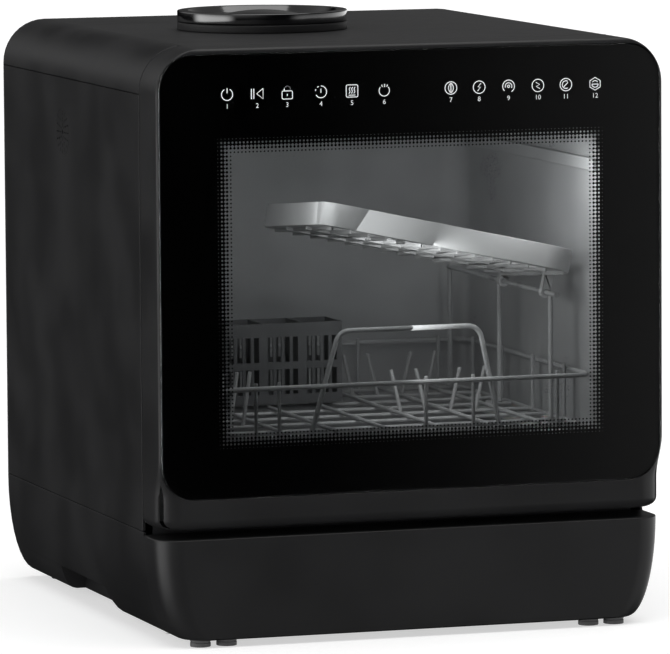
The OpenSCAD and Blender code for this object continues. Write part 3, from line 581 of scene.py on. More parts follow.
def printed_glass(groups, sizes):
    """Black enamel behind the front glass, with a dotted border round the clear window."""
    tree, shader, where, _ = start("glass_print", Specular_IOR_Level=0.05)
    shade = add(tree, "TexNoise", {"Vector": where, "Scale": 35.0, "Detail": 4.0})
    tint = mix_colours(tree, shade.outputs[0], (0.0006, 0.0006, 0.0008, 1), (0.0014, 0.0014, 0.0016, 1))
    surface(tree, shader, tint, calc(tree, "ADD", shade.outputs[0], 0.2, clamp=True))
    border = use_group(tree, groups["dots"], {
        "Vector": where, "Pitch": sizes.pitch, "Half Width": sizes.half_w, "Low": sizes.low,
        "High": sizes.high, "Band": sizes.band})
    tree.links.new(calc(tree, "SUBTRACT", 1.0, border.outputs["Clear"]), shader.inputs["Alpha"])


def lit_signs():
    # White print of the touch signs and numbers. Its emission is a painted glow, not a lamp.
    tree, shader, where, _ = start("sign_white", Roughness=0.5, Emission_Strength=0.75)
    shade = add(tree, "TexNoise", {"Vector": where, "Scale": 220.0, "Detail": 2.0})
    tint = mix_colours(tree, shade.outputs[0], (0.78, 0.79, 0.8, 1), (0.95, 0.95, 0.95, 1))
    surface(tree, shader, tint)
    tree.links.new(tint, shader.inputs["Emission Color"])


def lamp_lens():
    tree, shader, where, _ = start("lamp_white", Roughness=0.4, Emission_Strength=5.0)
    ribs = add(tree, "TexWave", {"Vector": where, "Scale": 160.0}, wave_type="BANDS",
               bands_direction="X")
    tint = mix_colours(tree, ribs.outputs[1], (0.82, 0.86, 0.9, 1), (0.95, 0.97, 1, 1))
    surface(tree, shader, tint, height=ribs.outputs[1], depth=0.0002)
    tree.links.new(tint, shader.inputs["Emission Color"])


def circuit_board(groups):
    """Green lacquer over copper tracks."""
    tree, shader, where, _ = start("board_green", Roughness=0.35)
    tracks = add(tree, "TexBrick", {"Vector": where, "Scale": 60.0, "Mortar Size": 0.03,
                                    "Color1": (0.02, 0.13, 0.05, 1), "Color2": (0.025, 0.16, 0.06, 1),
                                    "Mortar": (0.05, 0.26, 0.09, 1)})
    lacquer = use_group(tree, groups["moulded"], {
        "Vector": where, "Colour": tracks.outputs[0], "Cloud Colour": tracks.outputs[0],
        "Roughness": 0.35})
    surface(tree, shader, lacquer.outputs["Colour"], lacquer.outputs["Roughness"],
            tracks.outputs[1], 0.00005)


class MakeFinishes(Operator):
    """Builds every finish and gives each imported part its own"""
    bl_idname = "dishwasher.finishes"
    bl_label = "Finishes"

    def execute(self, context):
        scene = context.scene
        groups = {"moulded": moulded_group(), "brushed": brushed_group(), "dust": dust_group(),
                  "dots": dots_group()}
        black = tuple(scene.dw_casing.black)
        moulded("casing_black", groups, black, 0.42, dust=0.06, Specular_IOR_Level=0.28)
        moulded("collar_black", groups, tuple(c * 0.8 for c in black), 0.5, Specular_IOR_Level=0.3)
        moulded("trim_black", groups, (0.004, 0.004, 0.0045), 0.14, depth=0.000004, spread=0.05,
                Specular_IOR_Level=0.6, Coat_Weight=0.5, Coat_Roughness=0.05)
        moulded("tub_grey", groups, (0.33, 0.335, 0.34), 0.33, grain=700.0, depth=0.00001,
                Specular_IOR_Level=0.5)
        moulded("wire_grey", groups, tuple(scene.dw_rack.grey), 0.3, grain=900.0, depth=0.00002,
                Specular_IOR_Level=0.6, Coat_Weight=0.35, Coat_Roughness=0.15)
        moulded("shelf_grey", groups, (0.5, 0.505, 0.51), 0.38, cloud=1.06)
        moulded("basket_grey", groups, (0.085, 0.087, 0.09), 0.4)
        moulded("inner_black", groups, (0.03, 0.03, 0.032), 0.5)
        moulded("natural_plastic", groups, (0.62, 0.63, 0.62), 0.42, cloud=1.08, grain=500.0,
                Subsurface_Weight=0.15, Subsurface_Scale=0.002)
        moulded("rubber", groups, (0.035, 0.035, 0.036), 0.75, grain=500.0, depth=0.00006)
        moulded("foot_rubber", groups, (0.09, 0.09, 0.092), 0.6, grain=500.0, depth=0.00006)
        drawn_steel("steel", groups, (0.6, 0.6, 0.61), (30.0, 900.0, 900.0))
        drawn_steel("screw_steel", groups, (0.35, 0.35, 0.36), (500.0, 500.0, 500.0))
        clear_glass("clear_glass", 0.35)
        clear_glass("black_glass", 0.12)
        printed_glass(groups, scene.dw_print)
        lit_signs()
        lamp_lens()
        circuit_board(groups)
        for node, obj in frame["nodes"].items():
            obj.data.materials.clear()
            obj.data.materials.append(FINISHES[SLOT_OF[node]])
        return {"FINISHED"}


# ---------------------------------------------------------------- casing

def belly_section(z, half, low, sizes):
    """Half width of the casing at a height: a quarter ellipse up to the straight side."""
    if z >= sizes.belly_top:
        return half
    t = (sizes.belly_top - z) / (sizes.belly_top - low)
    return half - sizes.belly_in * (1 - sqrt(max(1 - t * t, 0)))


def fascia_rings(sizes, half, front, back, low, top, corner):
    """Plan outlines of the fascia, close together at the bottom where its sides turn in."""
    levels = 22
    rings = []
    for k in range(levels + 1):
        z = low + (top - low) * (1 - cos(pi / 2 * k / levels))
        side = belly_section(z, half, low, sizes)
        plan = rounded(-side, side, front, back, corner, 0.01 * MM, steps=12)
        rings.append([(x, y, z) for x, y in plan])
    return rings


def build_fascia(sizes):
    low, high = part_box("front_fascia")
    wall = sizes.shell
    fascia = object_from(lofted(fascia_rings(
        sizes, high.x, low.y, high.y, low.z, high.z, sizes.front_corner)), "front_fascia_shell")
    carve(fascia, lofted(fascia_rings(
        sizes, high.x - wall, low.y + wall, high.y + wall, low.z + wall, high.z - wall,
        sizes.front_corner - wall)))
    place(fascia, "front_fascia", edge=0.9 * MM)


class MakeCasing(Operator):
    """Casing: fascia, base, side panels, top cover and rear panel"""
    bl_idname = "dishwasher.casing"
    bl_label = "Casing"

    def execute(self, context):
        sizes = context.scene.dw_casing
        build_fascia(sizes)
        for node in ("left_side_panel", "right_side_panel", "top_cover", "base_shell", "rear_panel"):
            dress(node, node + "_skin", edge=sizes.edge)
        dress("rear_screws", "rear_screw_heads", finish="screw_steel")
        return {"FINISHED"}


# ---------------------------------------------------------------- door

def inset(radius, run):
    """How far a rounded edge of a radius lies in at a run from its straight end."""
    run = min(max(run, 0.0), radius)
    return radius - sqrt(max(radius * radius - run * run, 0.0))


def door_ring(z, sizes):
    """Plan outline of the door at a height."""
    low, high = DOOR[0].z, DOOR[1].z
    half = (HALF_W - inset(sizes.corner, z - high + sizes.corner)
            - inset(sizes.low_corner, low + sizes.low_corner - z))
    front = (FRONT + inset(sizes.low_edge, low + sizes.low_edge - z)
             + inset(sizes.top_edge, z - high + sizes.top_edge))
    t = min(max((z - GLASS[0].z) / sizes.blend, 0.0), 1.0)
    edge = sizes.wide_edge - (sizes.wide_edge - sizes.slim_edge) * t * t * (3 - 2 * t)
    return [(x, y, z) for x, y in rounded(-half, half, front, DOOR[1].y, edge, 0.01 * MM, steps=12)]


def door_levels(sizes):
    """Heights of the door's rings, close together where its outline turns."""
    low, high = DOOR[0].z, DOOR[1].z
    foot = [low + sizes.low_edge * (1 - cos(pi / 2 * k / 8)) for k in range(9)]
    swell = [GLASS[0].z + sizes.blend * k / 12 for k in range(13)]
    crown = [high - sizes.corner + sizes.corner * sin(pi / 2 * k / 22) for k in range(23)]
    return foot + swell + crown


def glass_outline(grow, y, sizes):
    low, high = GLASS
    radius = sizes.glass_corner + grow
    flat = rounded(low.x - grow, high.x + grow, low.z - grow, high.z + grow, radius, radius, steps=14)
    return [(x, y, z) for x, z in flat]


def window_prism(x0, x1, z0, z1, y0, y1, radius, high_radius=None):
    """A rounded block that runs through the door."""
    outline = rounded(x0, x1, z0, z1, radius, radius if high_radius is None else high_radius)
    return prism([(x, y0, z) for x, z in outline], (0, y1 - y0, 0))


def build_door_shell(sizes, shell):
    """Shell of the door: a seat for the glass, hollow from behind, open at the window and the keys."""
    door = object_from(lofted([door_ring(z, sizes) for z in door_levels(sizes)]), "door_shell")
    low, high = DOOR
    seat_y = GLASS[1].y
    flange_y = seat_y + shell
    back_y = flange_y + shell
    glass_gap, proud = 0.35 * MM, 5 * MM
    carve(door, prism(glass_outline(glass_gap, FRONT - proud, sizes), (0, seat_y - FRONT + proud, 0)))
    carve(door, window_prism(-HALF_W + shell, HALF_W - shell, low.z + shell, high.z - shell,
                             flange_y, high.y + shell, 6 * MM, sizes.corner - shell))
    carve(door, window_prism(-sizes.window_x, sizes.window_x, sizes.window_low, sizes.window_high,
                             FRONT, back_y, 12 * MM))
    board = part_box("touch_board")
    lip = 2 * MM
    carve(door, window_prism(board[0].x + lip, board[1].x - lip, board[0].z + lip, board[1].z - lip,
                             FRONT, back_y, 3 * MM))
    slot_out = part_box("hinge_pins")[1].x - 3 * MM
    slot_in = slot_out - 10 * MM
    slot_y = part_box("hinge_cheeks")[0].y
    for x0, x1 in ((-slot_out, -slot_in), (slot_in, slot_out)):
        slot = bmesh.new()
        block(slot, (x0, slot_y, low.z - shell), (x1, high.y + shell, low.z + 1.4 * shell))
        carve(door, slot)
    place(door, "door_frame", edge=0.35 * MM)


def build_pane(bm, name, node, ground, segments):
    """A pane with ground edges. Its large faces are shaded flat, so that nothing behind it bends."""
    rim = [e for e in bm.edges if abs(e.calc_face_angle()) > 1]
    bmesh.ops.bevel(bm, geom=rim, offset=ground, offset_type="OFFSET", affect="EDGES",
                    segments=segments, profile=0.5, material=-1)
    pane = place(object_from(bm, name), node)
    for face in pane.data.polygons:
        face.use_smooth = abs(face.normal.y) < 0.999


def build_glasses(sizes):
    """Front glass and inner pane, each a little thinner than its node to leave room for the print."""
    front = prism(glass_outline(0, FRONT, sizes), (0, GLASS[1].y - FRONT - 0.2 * MM, 0))
    build_pane(front, "front_glass", "door_glass", sizes.glass_edge, 3)
    low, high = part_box("inner_glass")
    inner = window_prism(low.x, high.x, low.z, high.z, low.y, high.y - 0.1 * MM, 20 * MM)
    build_pane(inner, "inner_pane", "inner_glass", 0.5 * MM, 2)


class MakeDoor(Operator):
    """Door: shell, front glass, inner pane, liner and hinge parts"""
    bl_idname = "dishwasher.door"
    bl_label = "Door"

    def execute(self, context):
        scene = context.scene
        build_door_shell(scene.dw_door, scene.dw_casing.shell)
        build_glasses(scene.dw_door)
        dress_all((("door_liner", "door_liner_skin", 0.6),
                   ("hinge_cheeks", "hinge_cheek_plates", 0.4),
                   ("latch_striker", "latch_striker_tongue", 0.4)))
        return {"FINISHED"}


# ---------------------------------------------------------------- print and signs

KEY_XS = [x * MM for x in (-148, -124, -100, -73, -48, -22, 32, 55, 79, 103, 126, 150)]


def circle(radius, start=0, end=360, steps=28, cy=0.0):
    return arc(0.0, cy, radius, start, end, steps)


def wavy(cx, height, swing, steps=10):
    """A slanted wavy line, as steam is drawn."""
    line = [(cx + swing * sin(TAU * k / steps), height * (k / steps - 0.5)) for k in range(steps + 1)]
    return [(x * 0.8 + y * 0.25, y + 0.1) for x, y in line]


def hexagon(radius):
    return arc(0.0, 0.0, radius, 30, 390, 6)


def sign_strokes():
    """Twelve signs as strokes on a field of unit radius, from left to right."""
    padlock = rounded(-0.85, 0.85, -0.95, 0.3, 0.2, 0.2, steps=3)
    shackle = [(-0.5, 0.3), (-0.5, 0.6)] + arc(0, 0.55, 0.5, 180, 0, 10) + [(0.5, 0.3)]
    plate = rounded(-0.95, 0.95, -0.95, 0.95, 0.22, 0.22, steps=3)
    leaf = arc(-0.55, 0, 0.95, -52, 52, 12) + arc(0.55, 0, 0.95, 128, 232, 12)
    play = [(0.95, 0.8), (-0.1, 0), (0.95, -0.8), (0.95, 0.8)]
    return [
        [circle(0.9, 118, 422), [(0, 0.2), (0, 1.0)]],
        [[(-0.95, -0.8), (-0.95, 0.8)], [(-0.55, -0.8), (-0.55, 0.8)], play],
        [looped(padlock), shackle, [(0, -0.5), (0, -0.15)]],
        [circle(0.92, -150, 90), circle(0.92, 112, 130, 3), circle(0.92, 152, 170, 3),
         [(0, -0.15), (0, 0.5)]],
        [looped(plate), *(wavy(c, 1.0, 0.14) for c in (-0.5, 0, 0.5)), [(-0.55, -0.65), (0.55, -0.65)]],
        [circle(0.85, 140, 400, cy=-0.1), [(-0.3, 0.5), (-0.45, 0.85)], [(0.05, 0.45), (0.05, 0.95)],
         [(0.4, 0.5), (0.55, 0.85)]],
        [circle(0.98), leaf, [(0, -0.75), (0, 0.75)]],
        [circle(0.98), [(0.3, 0.6), (-0.2, 0.05), (0.2, 0), (-0.25, -0.6)]],
        [circle(0.98, -60, 225), circle(0.55, -30, 200), circle(0.2, steps=8)],
        [circle(0.98), [(-0.35, 0.5), (0.3, 0.15), (-0.3, -0.15), (0.35, -0.5)]],
        [circle(0.98), circle(0.6, 60, 300), [(0.35, 0.35), (-0.35, -0.35)]],
        [hexagon(1.0), circle(0.55, 190, 350, 12), [(-0.55, -0.05), (0.55, -0.05)],
         circle(0.5, 30, 150, 8)],
    ]


def flatten_to(mesh, y, thickness):
    """Presses a mesh flat against a plane behind the glass."""
    depth = max(abs(v.co.y) for v in mesh.vertices) or 1.0
    mesh.transform(Matrix.Translation((0, y, 0)) @ Matrix.Diagonal((1, thickness / 2 / depth, 1, 1)))


def build_signs(sizes, print_y):
    wires = [[(key + x * sizes.sign, 0, sizes.row_z + z * sizes.sign) for x, z in stroke]
             for key, strokes in zip(KEY_XS, sign_strokes()) for stroke in strokes]
    mesh = wire_mesh("touch_signs", wires, sizes.stroke, sides=1)
    flatten_to(mesh, print_y, 0.03 * MM)
    place(linked("touch_signs", mesh), "door_glass", finish="sign_white", replaces=False)


def build_numbers(sizes, print_y):
    """Plain numbers from 1 under the signs."""
    bm = bmesh.new()
    for number, key in enumerate(KEY_XS, start=1):
        data = bpy.data.curves.new("number", "FONT")
        data.body = str(number)
        data.size = sizes.number
        data.align_x = data.align_y = "CENTER"
        data.extrude = 0.01 * MM
        data.resolution_u = 3
        text = linked("number", data)
        mesh = evaluated_mesh(text)
        upright = Matrix.Rotation(pi / 2, 4, "X")
        mesh.transform(Matrix.Translation((key, print_y, sizes.number_z)) @ upright)
        bm.from_mesh(mesh)
        bpy.data.objects.remove(text)
        bpy.data.curves.remove(data)
        bpy.data.meshes.remove(mesh)
    bmesh.ops.remove_doubles(bm, verts=bm.verts, dist=1e-6)
    place(object_from(bm, "touch_numbers"), "door_glass", finish="sign_white", replaces=False)


class MakePrint(Operator):
    """Print behind the front glass: black border of dots, touch signs and numbers"""
    bl_idname = "dishwasher.print"
    bl_label = "Glass print"

    def execute(self, context):
        scene = context.scene
        back = GLASS[1].y
        border = prism(glass_outline(-0.3 * MM, back - 0.1 * MM, scene.dw_door), (0, 0.06 * MM, 0))
        place(object_from(border, "glass_print"), "door_glass", finish="glass_print", replaces=False)
        print_y = back - 0.14 * MM
        build_signs(scene.dw_print, print_y)
        build_numbers(scene.dw_print, print_y)
        return {"FINISHED"}


# ---------------------------------------------------------------- filler and vent

def disc_of(node):
    """Centre and radius of an upright round part."""
    low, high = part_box(node)
    return ((low.x + high.x) / 2, (low.y + high.y) / 2), (high.x - low.x) / 2


def build_collar(lip):
    centre, outer = disc_of("filler_collar")
    low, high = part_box("filler_collar")
    throat = disc_of("filler_strainer")[1] + 0.4 * MM
    neck = throat + 1.5 * MM
    corners = [(throat, low.z), (neck, low.z), (neck, ROOF), (outer, ROOF), (outer, high.z),
               (throat, high.z)]
    bm = bmesh.new()
    turned(bm, looped(rounded_profile(corners, lip, closed=True)), centre)
    place(object_from(bm, "filler_collar_ring"), "filler_collar", finish="collar_black")


def build_cap(sizes):
    centre, outer = disc_of("filler_cap")
    low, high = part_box("filler_cap")
    skirt = disc_of("filler_strainer")[1] - 0.6 * MM
    skirt_in = skirt - 2 * MM
    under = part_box("filler_collar")[1].z + 0.4 * MM
    plate = under + 1 * MM
    top, floor_z = high.z, high.z - sizes.dish
    rim_in, dish_out = outer - 8.5 * MM, outer - 13 * MM
    crown, fall = top - 0.2 * MM, 2.8 * MM
    dome = [(sizes.boss * t, crown - fall * t * t) for t in (k / 10 for k in range(11))]
    corners = dome + [
        (sizes.boss + 0.6 * MM, floor_z), (dish_out, floor_z), (rim_in, top), (outer, top),
        (outer, under), (skirt, under), (skirt, low.z), (skirt_in, low.z), (skirt_in, plate), (0, plate)]
    bm = bmesh.new()
    turned(bm, rounded_profile(corners, sizes.lip), centre, steps=128)
    place(object_from(bm, "filler_cap_disc"), "filler_cap")


class MakeFiller(Operator):
    """Filler on the roof: collar, domed cap and strainer, and the vent in the left side"""
    bl_idname = "dishwasher.filler"
    bl_label = "Filler and vent"

    def execute(self, context):
        sizes = context.scene.dw_filler
        build_collar(sizes.lip)
        build_cap(sizes)
        dress_all((("filler_strainer", "filler_strainer_disc", 0.3),
                   ("side_vent", "vent_rosette", 0.15)))
        return {"FINISHED"}


# ---------------------------------------------------------------- feet

def build_feet(node, name, places, radius):
    """Rubber feet with a groove in the tread and another round the side."""
    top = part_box(node)[1].z
    groove = 0.6 * MM
    profile = rounded_profile([
        (0, 0), (radius * 0.55, 0), (radius * 0.6, 0.5 * MM), (radius * 0.7, 0), (radius, 0),
        (radius, top * 0.5), (radius - groove, top * 0.6), (radius, top * 0.7), (radius, top), (0, top)],
        0.5 * MM, steps=3)
    bm = bmesh.new()
    for centre in places:
        turned(bm, profile, centre, steps=40)
    place(object_from(bm, name), node, finish="foot_rubber")


class MakeFeet(Operator):
    """Rubber feet, two at each front corner and one at each rear corner"""
    bl_idname = "dishwasher.feet"
    bl_label = "Feet"

    def execute(self, context):
        for node, name, across in (("front_feet", "front_rubber_feet", (0, 21 * MM)),
                                   ("rear_feet", "rear_rubber_feet", (0,))):
            low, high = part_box(node)
            radius = (high.y - low.y) / 2
            outer = high.x - radius
            places = [(side * (outer - inward), (low.y + high.y) / 2)
                      for side in (-1, 1) for inward in across]
            build_feet(node, name, places, radius)
        return {"FINISHED"}


# ---------------------------------------------------------------- tub and washing parts

class MakeTub(Operator):
    """Tub, its seal and the washing parts that show when the door is down"""
    bl_idname = "dishwasher.tub"
    bl_label = "Tub"

    def execute(self, context):
        dress_all((("tub_shell", "tub_liner", 0.9),
                   ("tub_guides", "tub_guide_rails", 0.8),
                   ("tub_seal", "tub_seal_lip", 0.6),
                   ("spray_arm", "spray_arm_blade", 0.6),
                   ("spray_hub", "spray_hub_post", 0.4),
                   ("filter_plate", "filter_plate_disc", 0.3),
                   ("filter_cup", "filter_cup_basket", 0.3),
                   ("overflow_float", "overflow_float_cup", 0.5)))
        return {"FINISHED"}


# ---------------------------------------------------------------- rack

# Places across and along the rack, in millimetres
UPRIGHT_XS = (-145, -108, -89, 31, 70, 140)
UPRIGHT_YS = (-106, -33, 40, 110)
LONG_WIRE_XS = range(-126, 127, 42)
CROSS_WIRE_YS = range(-115, 86, 40)
PLATE_TINES = [(x, y) for x in (-147, -136.5, -115.5, -105, -94.5) for y in (-75, 85)]
BOWL_TINES = [(x, y) for x in (50, 71, 92, 113) for y in (-35, 85)]
BOWL_MIDDLE = 80
HANDLE_XS = (-64, -39.6, 75.6, 92)
POST_YS = (-115, 5, 125)


def wires_for(name, wires, radius, closed=False):
    mesh = wire_mesh(name, wires, radius, closed)
    bm = bmesh.new()
    bm.from_mesh(mesh)
    clean(bm)
    bpy.data.meshes.remove(mesh)
    return object_from(bm, name)


def joined(name, pieces):
    """Joins loose pieces into one mesh."""
    bm = bmesh.new()
    for piece in pieces:
        bm.from_mesh(piece.data)
        bpy.data.objects.remove(piece)
    return object_from(bm, name)


def build_rails(sizes):
    """Rail and floor loops, and the uprights that hook under the floor loop and hold the rail."""
    wire, rail = sizes.wire, sizes.rail
    low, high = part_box("rack_rails")
    rail_z, floor_z = high.z - 4 * MM, low.z + wire
    near, far, side = low.y + rail, high.y - rail, high.x - rail
    step, cross = rail + wire, 2 * wire

    def loop(inward, z):
        x, y0, y1 = side - inward, near + inward, far - inward
        corners = [(-x, y0, z), (x, y0, z), (x, y1, z), (-x, y1, z)]
        return fillet(corners, sizes.bend - inward, closed=True)

    def upright(x, y, dx, dy):
        low_z = floor_z - cross
        foot = (x + dx * sizes.foot, y + dy * sizes.foot, low_z)
        return fillet([(x, y, high.z), (x, y, low_z), foot], 5 * MM)

    uprights = []
    for x in UPRIGHT_XS:
        uprights += [upright(x * MM, near + step, 0, 1), upright(x * MM, far - step, 0, -1)]
    for y in UPRIGHT_YS:
        uprights += [upright(side - step, y * MM, -1, 0), upright(step - side, y * MM, 1, 0)]
    place(joined("rack_rail_wires", [
        wires_for("rail", [loop(0, rail_z)], rail, closed=True),
        wires_for("base", [loop(step + cross, floor_z)], wire, closed=True),
        wires_for("uprights", uprights, wire)]), "rack_rails")


def build_rack_floor(wire):
    low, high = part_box("rack_floor")
    lower, upper = low.z + wire, high.z - wire
    floor = [[(x * MM, low.y, upper), (x * MM, high.y, upper)] for x in LONG_WIRE_XS]
    floor += [[(low.x, y * MM, lower), (high.x, y * MM, lower)] for y in CROSS_WIRE_YS]
    place(wires_for("rack_floor_wires", floor, wire), "rack_floor")


def build_tines(wire):
    """Leaning tines: tall ones for plates on the left, and pairs that spread for bowls on the right."""
    tines = [(x, y, 6, 42) for x, y in PLATE_TINES]
    tines += [(x, y, -8 if x < BOWL_MIDDLE else 8, 34) for x, y in BOWL_TINES]
    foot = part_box("rack_tines")[0].z
    wires = [[(x * MM, y * MM, foot), ((x + lean) * MM, y * MM, foot + tall * MM)]
             for x, y, lean, tall in tines]
    place(wires_for("rack_tine_wires", wires, wire), "rack_tines")


def build_handle(rail):
    low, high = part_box("rack_handle")
    near, far, top = low.y + rail, high.y - rail, high.z - rail
    foot_left, bar_left, bar_right, foot_right = (x * MM for x in HANDLE_XS)
    corners = [(foot_left, near, low.z), (bar_left, far, top), (bar_right, far, top),
               (foot_right, near, low.z)]
    place(wires_for("rack_handle_wire", [fillet(corners, 13 * MM, steps=9)], rail), "rack_handle")


def build_posts(rail):
    low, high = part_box("shelf_posts")
    x, bar_z = (low.x + high.x) / 2, high.z - rail
    posts = [[(x, y * MM, low.z), (x, y * MM, bar_z - rail)] for y in POST_YS]
    posts.append([(x, low.y, bar_z), (x, high.y, bar_z)])
    place(wires_for("shelf_post_wires", posts, rail), "shelf_posts")


class MakeRack(Operator):
    """Rack: rail, floor, tines, handle, shelf posts and glides"""
    bl_idname = "dishwasher.rack"
    bl_label = "Rack"

    def execute(self, context):
        sizes = context.scene.dw_rack
        build_rails(sizes)
        build_rack_floor(sizes.wire)
        build_tines(sizes.wire)
        build_handle(sizes.rail)
        build_posts(sizes.rail)
        dress("rack_glides", "rack_glide_rails", edge=0.4 * MM)
        return {"FINISHED"}


# ---------------------------------------------------------------- shelf and basket

# The shelf is built level, with its rod along Y through the origin. Places are in millimetres
SHELF_BOX = (-209, 8, -150, 0)
SLOT_PITCH, SLOT_WIDE = 15, 9
SLOT_ROWS = ((-138, -100), (-92, -54), (-46, -12))
CROSS_RIB_YS = (-96, -50)
EYE_YS = (-105, -7)


def shelf_outline(shrink, z):
    """Outline of the cup shelf in its own plane, rounder at its lower end."""
    x0, x1, y0, y1 = (v * MM for v in SHELF_BOX)
    tight, broad = 12 * MM, 30 * MM
    points = (arc(x1 - broad, y0 + broad, broad - shrink, -90, 0, 12)
              + arc(x1 - broad, y1 - broad, broad - shrink, 0, 90, 12)
              + arc(x0 + tight, y1 - tight, tight - shrink, 90, 180)
              + arc(x0 + tight, y0 + tight, tight - shrink, 180, 270))
    return [(x, y, z) for x, y in points]


def shelf_slots(floor_z, wall):
    """Rows of slots through the floor of the shelf."""
    bm = bmesh.new()
    past = 1 * MM
    for k in range(12):
        x = (SLOT_PITCH * k - 195) * MM
        for y0, y1 in SLOT_ROWS:
            block(bm, (x, y0 * MM, floor_z - past), (x + SLOT_WIDE * MM, y1 * MM, floor_z + wall + past))
    return bm


def shelf_ribs(floor_z):
    """Ribs under the floor of the shelf: one beside each slot, and two across them."""
    bm = bmesh.new()
    half, top = 0.8 * MM, floor_z + 0.2 * MM
    deep, shallow = floor_z - 2.6 * MM, floor_z - 2.3 * MM
    for k in range(14):
        x = (SLOT_PITCH * k - 198) * MM
        block(bm, (x - half, -143 * MM, deep), (x + half, -7 * MM, top))
    for y in CROSS_RIB_YS:
        block(bm, (-204 * MM, y * MM - half, shallow), (2 * MM, y * MM + half, top))
    return bm


def shelf_eyes(floor_z, lean):
    """Two eyes round the rod, with webs up to the leaning floor, and the bores through them."""
    eyes, bores = bmesh.new(), bmesh.new()
    wide, web = 6 * MM, 4 * MM
    for y in (y * MM for y in EYE_YS):
        middle = (0, y + wide / 2, 0)
        drum(eyes, middle, 4.5 * MM, wide)
        block(eyes, (-web, y, 0), (web, y + wide, floor_z + 1 * MM - y * tan(lean)))
        drum(bores, middle, 2.3 * MM, wide + 2 * MM)
    return eyes, bores


def build_shelf(sizes):
    wall, floor_z = 2 * MM, 6 * MM
    up = (0, 0, sizes.rim)
    shelf = object_from(prism(shelf_outline(0, floor_z), up), "cup_shelf_tray")
    carve(shelf, prism(shelf_outline(wall, floor_z + wall), up))
    carve(shelf, shelf_slots(floor_z, wall))
    carve(shelf, shelf_ribs(floor_z), "UNION")
    shelf.data.transform(Matrix.Rotation(-sizes.lean, 4, "X"))
    eyes, bores = shelf_eyes(floor_z, sizes.lean)
    carve(shelf, eyes, "UNION")
    carve(shelf, bores)
    low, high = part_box("shelf_posts")
    rod = ((low.x + high.x) / 2, 0, high.z - sizes.rail)
    shelf.data.transform(Matrix.Translation(rod) @ Matrix.Rotation(sizes.tilt, 4, "Y"))
    place(shelf, "cup_shelf", edge=0.35 * MM)


class MakeShelf(Operator):
    """Tilted cup shelf and cutlery basket"""
    bl_idname = "dishwasher.shelf"
    bl_label = "Shelf and basket"

    def execute(self, context):
        build_shelf(context.scene.dw_rack)
        dress("cutlery_basket", "cutlery_basket_shell", edge=0.35 * MM)
        return {"FINISHED"}


# ---------------------------------------------------------------- rear fittings

class MakeRear(Operator):
    """Hose spigots, lead gland and other fittings in the rear bay"""
    bl_idname = "dishwasher.rear"
    bl_label = "Rear fittings"

    def execute(self, context):
        dress_all((("drain_spigot", "drain_spigot_pipe", 0.4),
                   ("inlet_valve", "inlet_valve_body", 0.4),
                   ("cord_gland", "cord_gland_body", 0.4)))
        return {"FINISHED"}


# ---------------------------------------------------------------- stage

def ramp(tree, value, start, end):
    """A smooth step from 0 at the start to 1 at the end."""
    node = add(tree, "MapRange", {"Value": value, "From Min": start, "From Max": end},
               interpolation_type="SMOOTHSTEP")
    return node.outputs[0]


def build_world(scene, sizes):
    """Studio walls overhead, on the left and behind on the right, and a low screen at each side.

    Nothing stands in front, where the glass would show it.
    """
    world = bpy.data.worlds.new("studio")
    world.use_nodes = True
    scene.world = world
    tree = world.node_tree
    x, y, z = add(tree, "SeparateXYZ", {0: add(tree, "TexCoord").outputs["Generated"]}).outputs
    overhead = ramp(tree, z, 0.35, 0.8)
    band = calc(tree, "MULTIPLY", ramp(tree, z, 0.8, 0.35), ramp(tree, z, -0.05, 0.2))
    behind = calc(tree, "MULTIPLY", ramp(tree, y, 0.0, 0.8), ramp(tree, x, 0.1, 0.5))
    low = calc(tree, "MULTIPLY", ramp(tree, z, 0.1, -0.02), ramp(tree, z, -0.35, -0.2))
    lobes = ((sizes.overhead, overhead),
             (sizes.back, calc(tree, "MULTIPLY", behind, band)),
             (sizes.left, calc(tree, "MULTIPLY", ramp(tree, x, 0.0, -0.8), band)),
             (sizes.right, calc(tree, "MULTIPLY", ramp(tree, x, 0.3, 0.62), low)),
             (sizes.edge, calc(tree, "MULTIPLY", ramp(tree, x, -0.8, -0.95), low)))
    level = 0.0
    for strength, lobe in lobes:
        level = calc(tree, "MULTIPLY_ADD", lobe, strength, level)
    background = tree.nodes["Background"]
    background.inputs["Color"].default_value = (1, 1, 1, 1)
    feed(tree, background.inputs["Strength"], level)


def build_floor():
    """A pale table lit from below, out of sight in reflections."""
    bm = bmesh.new()
    bmesh.ops.create_circle(bm, cap_ends=True, segments=96, radius=40)
    floor = object_from(bm, "floor")
    floor.visible_glossy = False
    floor.visible_transmission = False
    tree, shader, where, _ = start("pale_floor", Specular_IOR_Level=0.1, Emission_Strength=0.58)
    mottle = add(tree, "TexNoise", {"Vector": where, "Scale": 3.0, "Detail": 2.0})
    tint = mix_colours(tree, mottle.outputs[0], (0.58, 0.58, 0.58, 1), (0.6, 0.6, 0.6, 1))
    surface(tree, shader, tint, calc(tree, "ADD", mottle.outputs[0], 0.3, clamp=True))
    shader.inputs["Emission Color"].default_value = (1, 1, 1, 1)
    floor.data.materials.append(FINISHES["pale_floor"])


def new_light(name, kind, energy, matrix, **settings):
    data = bpy.data.lights.new(name, kind)
    data.energy = energy
    for key, value in settings.items():
        setattr(data, key, value)
    light = linked(name, data)
    light.matrix_world = matrix
    return light


def aimed(place_at, target):
    """A matrix at a place whose -Z looks at a target."""
    aim = Vector(target) - Vector(place_at)
    return Matrix.Translation(place_at) @ aim.to_track_quat("-Z", "Y").to_matrix().to_4x4()


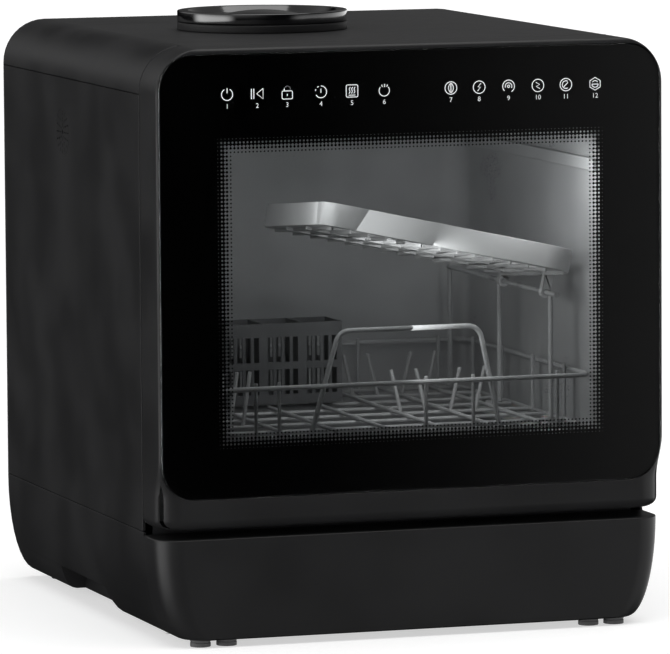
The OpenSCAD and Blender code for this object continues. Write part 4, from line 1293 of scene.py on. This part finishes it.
# Lights inside the tub: name, place, target, width and height in metres, and share of the power
TUB_LIGHTS = (
    ("tub_right", (0.04, -0.166, 0.25), (0.19, -0.02, 0.2), 0.16, 0.1, 0.14),
    ("tub_middle", (0.0, -0.166, 0.3), (0.08, 0.0, 0.22), 0.14, 0.1, 0.04),
    ("tub_rim", (0.12, -0.167, 0.36), (0.15, -0.1, 0.25), 0.05, 0.03, 0.14),
    ("tub_left", (-0.1, -0.16, 0.36), (-0.06, 0.1, 0.25), 0.12, 0.06, 0.1),
)


def build_lights(sizes):
    """A soft key light from above, and lights in the tub that no camera or reflection shows."""
    new_light("key", "SUN", sizes.sun, aimed((0.25, -0.35, 2.6), (0, 0, 0)), angle=radians(60))
    for name, at, target, wide, high, share in TUB_LIGHTS:
        light = new_light(name, "AREA", sizes.lamp * share, aimed(at, target), shape="RECTANGLE",
                          size=wide, size_y=high)
        light.visible_camera = light.visible_glossy = light.visible_transmission = False


def build_camera(scene, sizes):
    data = bpy.data.cameras.new("camera")
    data.sensor_width = 36
    data.lens = sizes.lens
    data.clip_end = 200
    camera = linked("camera", data)
    camera.matrix_world = (Matrix.Translation(sizes.camera_at) @ Matrix.Rotation(-sizes.yaw, 4, "Z")
                           @ Matrix.Rotation(pi / 2 - sizes.pitch, 4, "X")
                           @ Matrix.Rotation(-sizes.roll, 4, "Z"))
    scene.camera = camera


class MakeStage(Operator):
    """Pale floor, soft studio light, lights in the tub and the camera"""
    bl_idname = "dishwasher.stage"
    bl_label = "Stage"

    def execute(self, context):
        scene = context.scene
        sizes = scene.dw_stage
        build_world(scene, sizes)
        build_floor()
        build_lights(sizes)
        build_camera(scene, sizes)
        scene.view_settings.view_transform = "Standard"
        return {"FINISHED"}


# ---------------------------------------------------------------- add-on

OPERATORS = (MakeFinishes, MakeCasing, MakeDoor, MakePrint, MakeFiller, MakeFeet, MakeTub, MakeRack,
             MakeShelf, MakeRear, MakeStage)


class DishwasherPanel(Panel):
    """Sizes, colours and the steps that make the dishwasher"""
    bl_idname = "VIEW3D_PT_dishwasher"
    bl_label = "Dishwasher"
    bl_space_type = "VIEW_3D"
    bl_region_type = "UI"
    bl_category = "Dishwasher"

    def draw(self, context):
        for group, sizes in SIZE_GROUPS.items():
            box = self.layout.box()
            for key in sizes.__annotations__:
                box.prop(getattr(context.scene, group), key)
        for step in OPERATORS:
            self.layout.operator(step.bl_idname)


CLASSES = (*SIZE_GROUPS.values(), *OPERATORS, DishwasherPanel)


def register():
    for cls in CLASSES:
        bpy.utils.register_class(cls)
    for group, sizes in SIZE_GROUPS.items():
        setattr(bpy.types.Scene, group, PointerProperty(type=sizes))


def unregister():
    for group in SIZE_GROUPS:
        delattr(bpy.types.Scene, group)
    for cls in reversed(CLASSES):
        bpy.utils.unregister_class(cls)


def main():
    register()
    for step in OPERATORS:
        family, name = step.bl_idname.split(".")
        getattr(getattr(bpy.ops, family), name)()


if __name__ == "__main__":
    main()
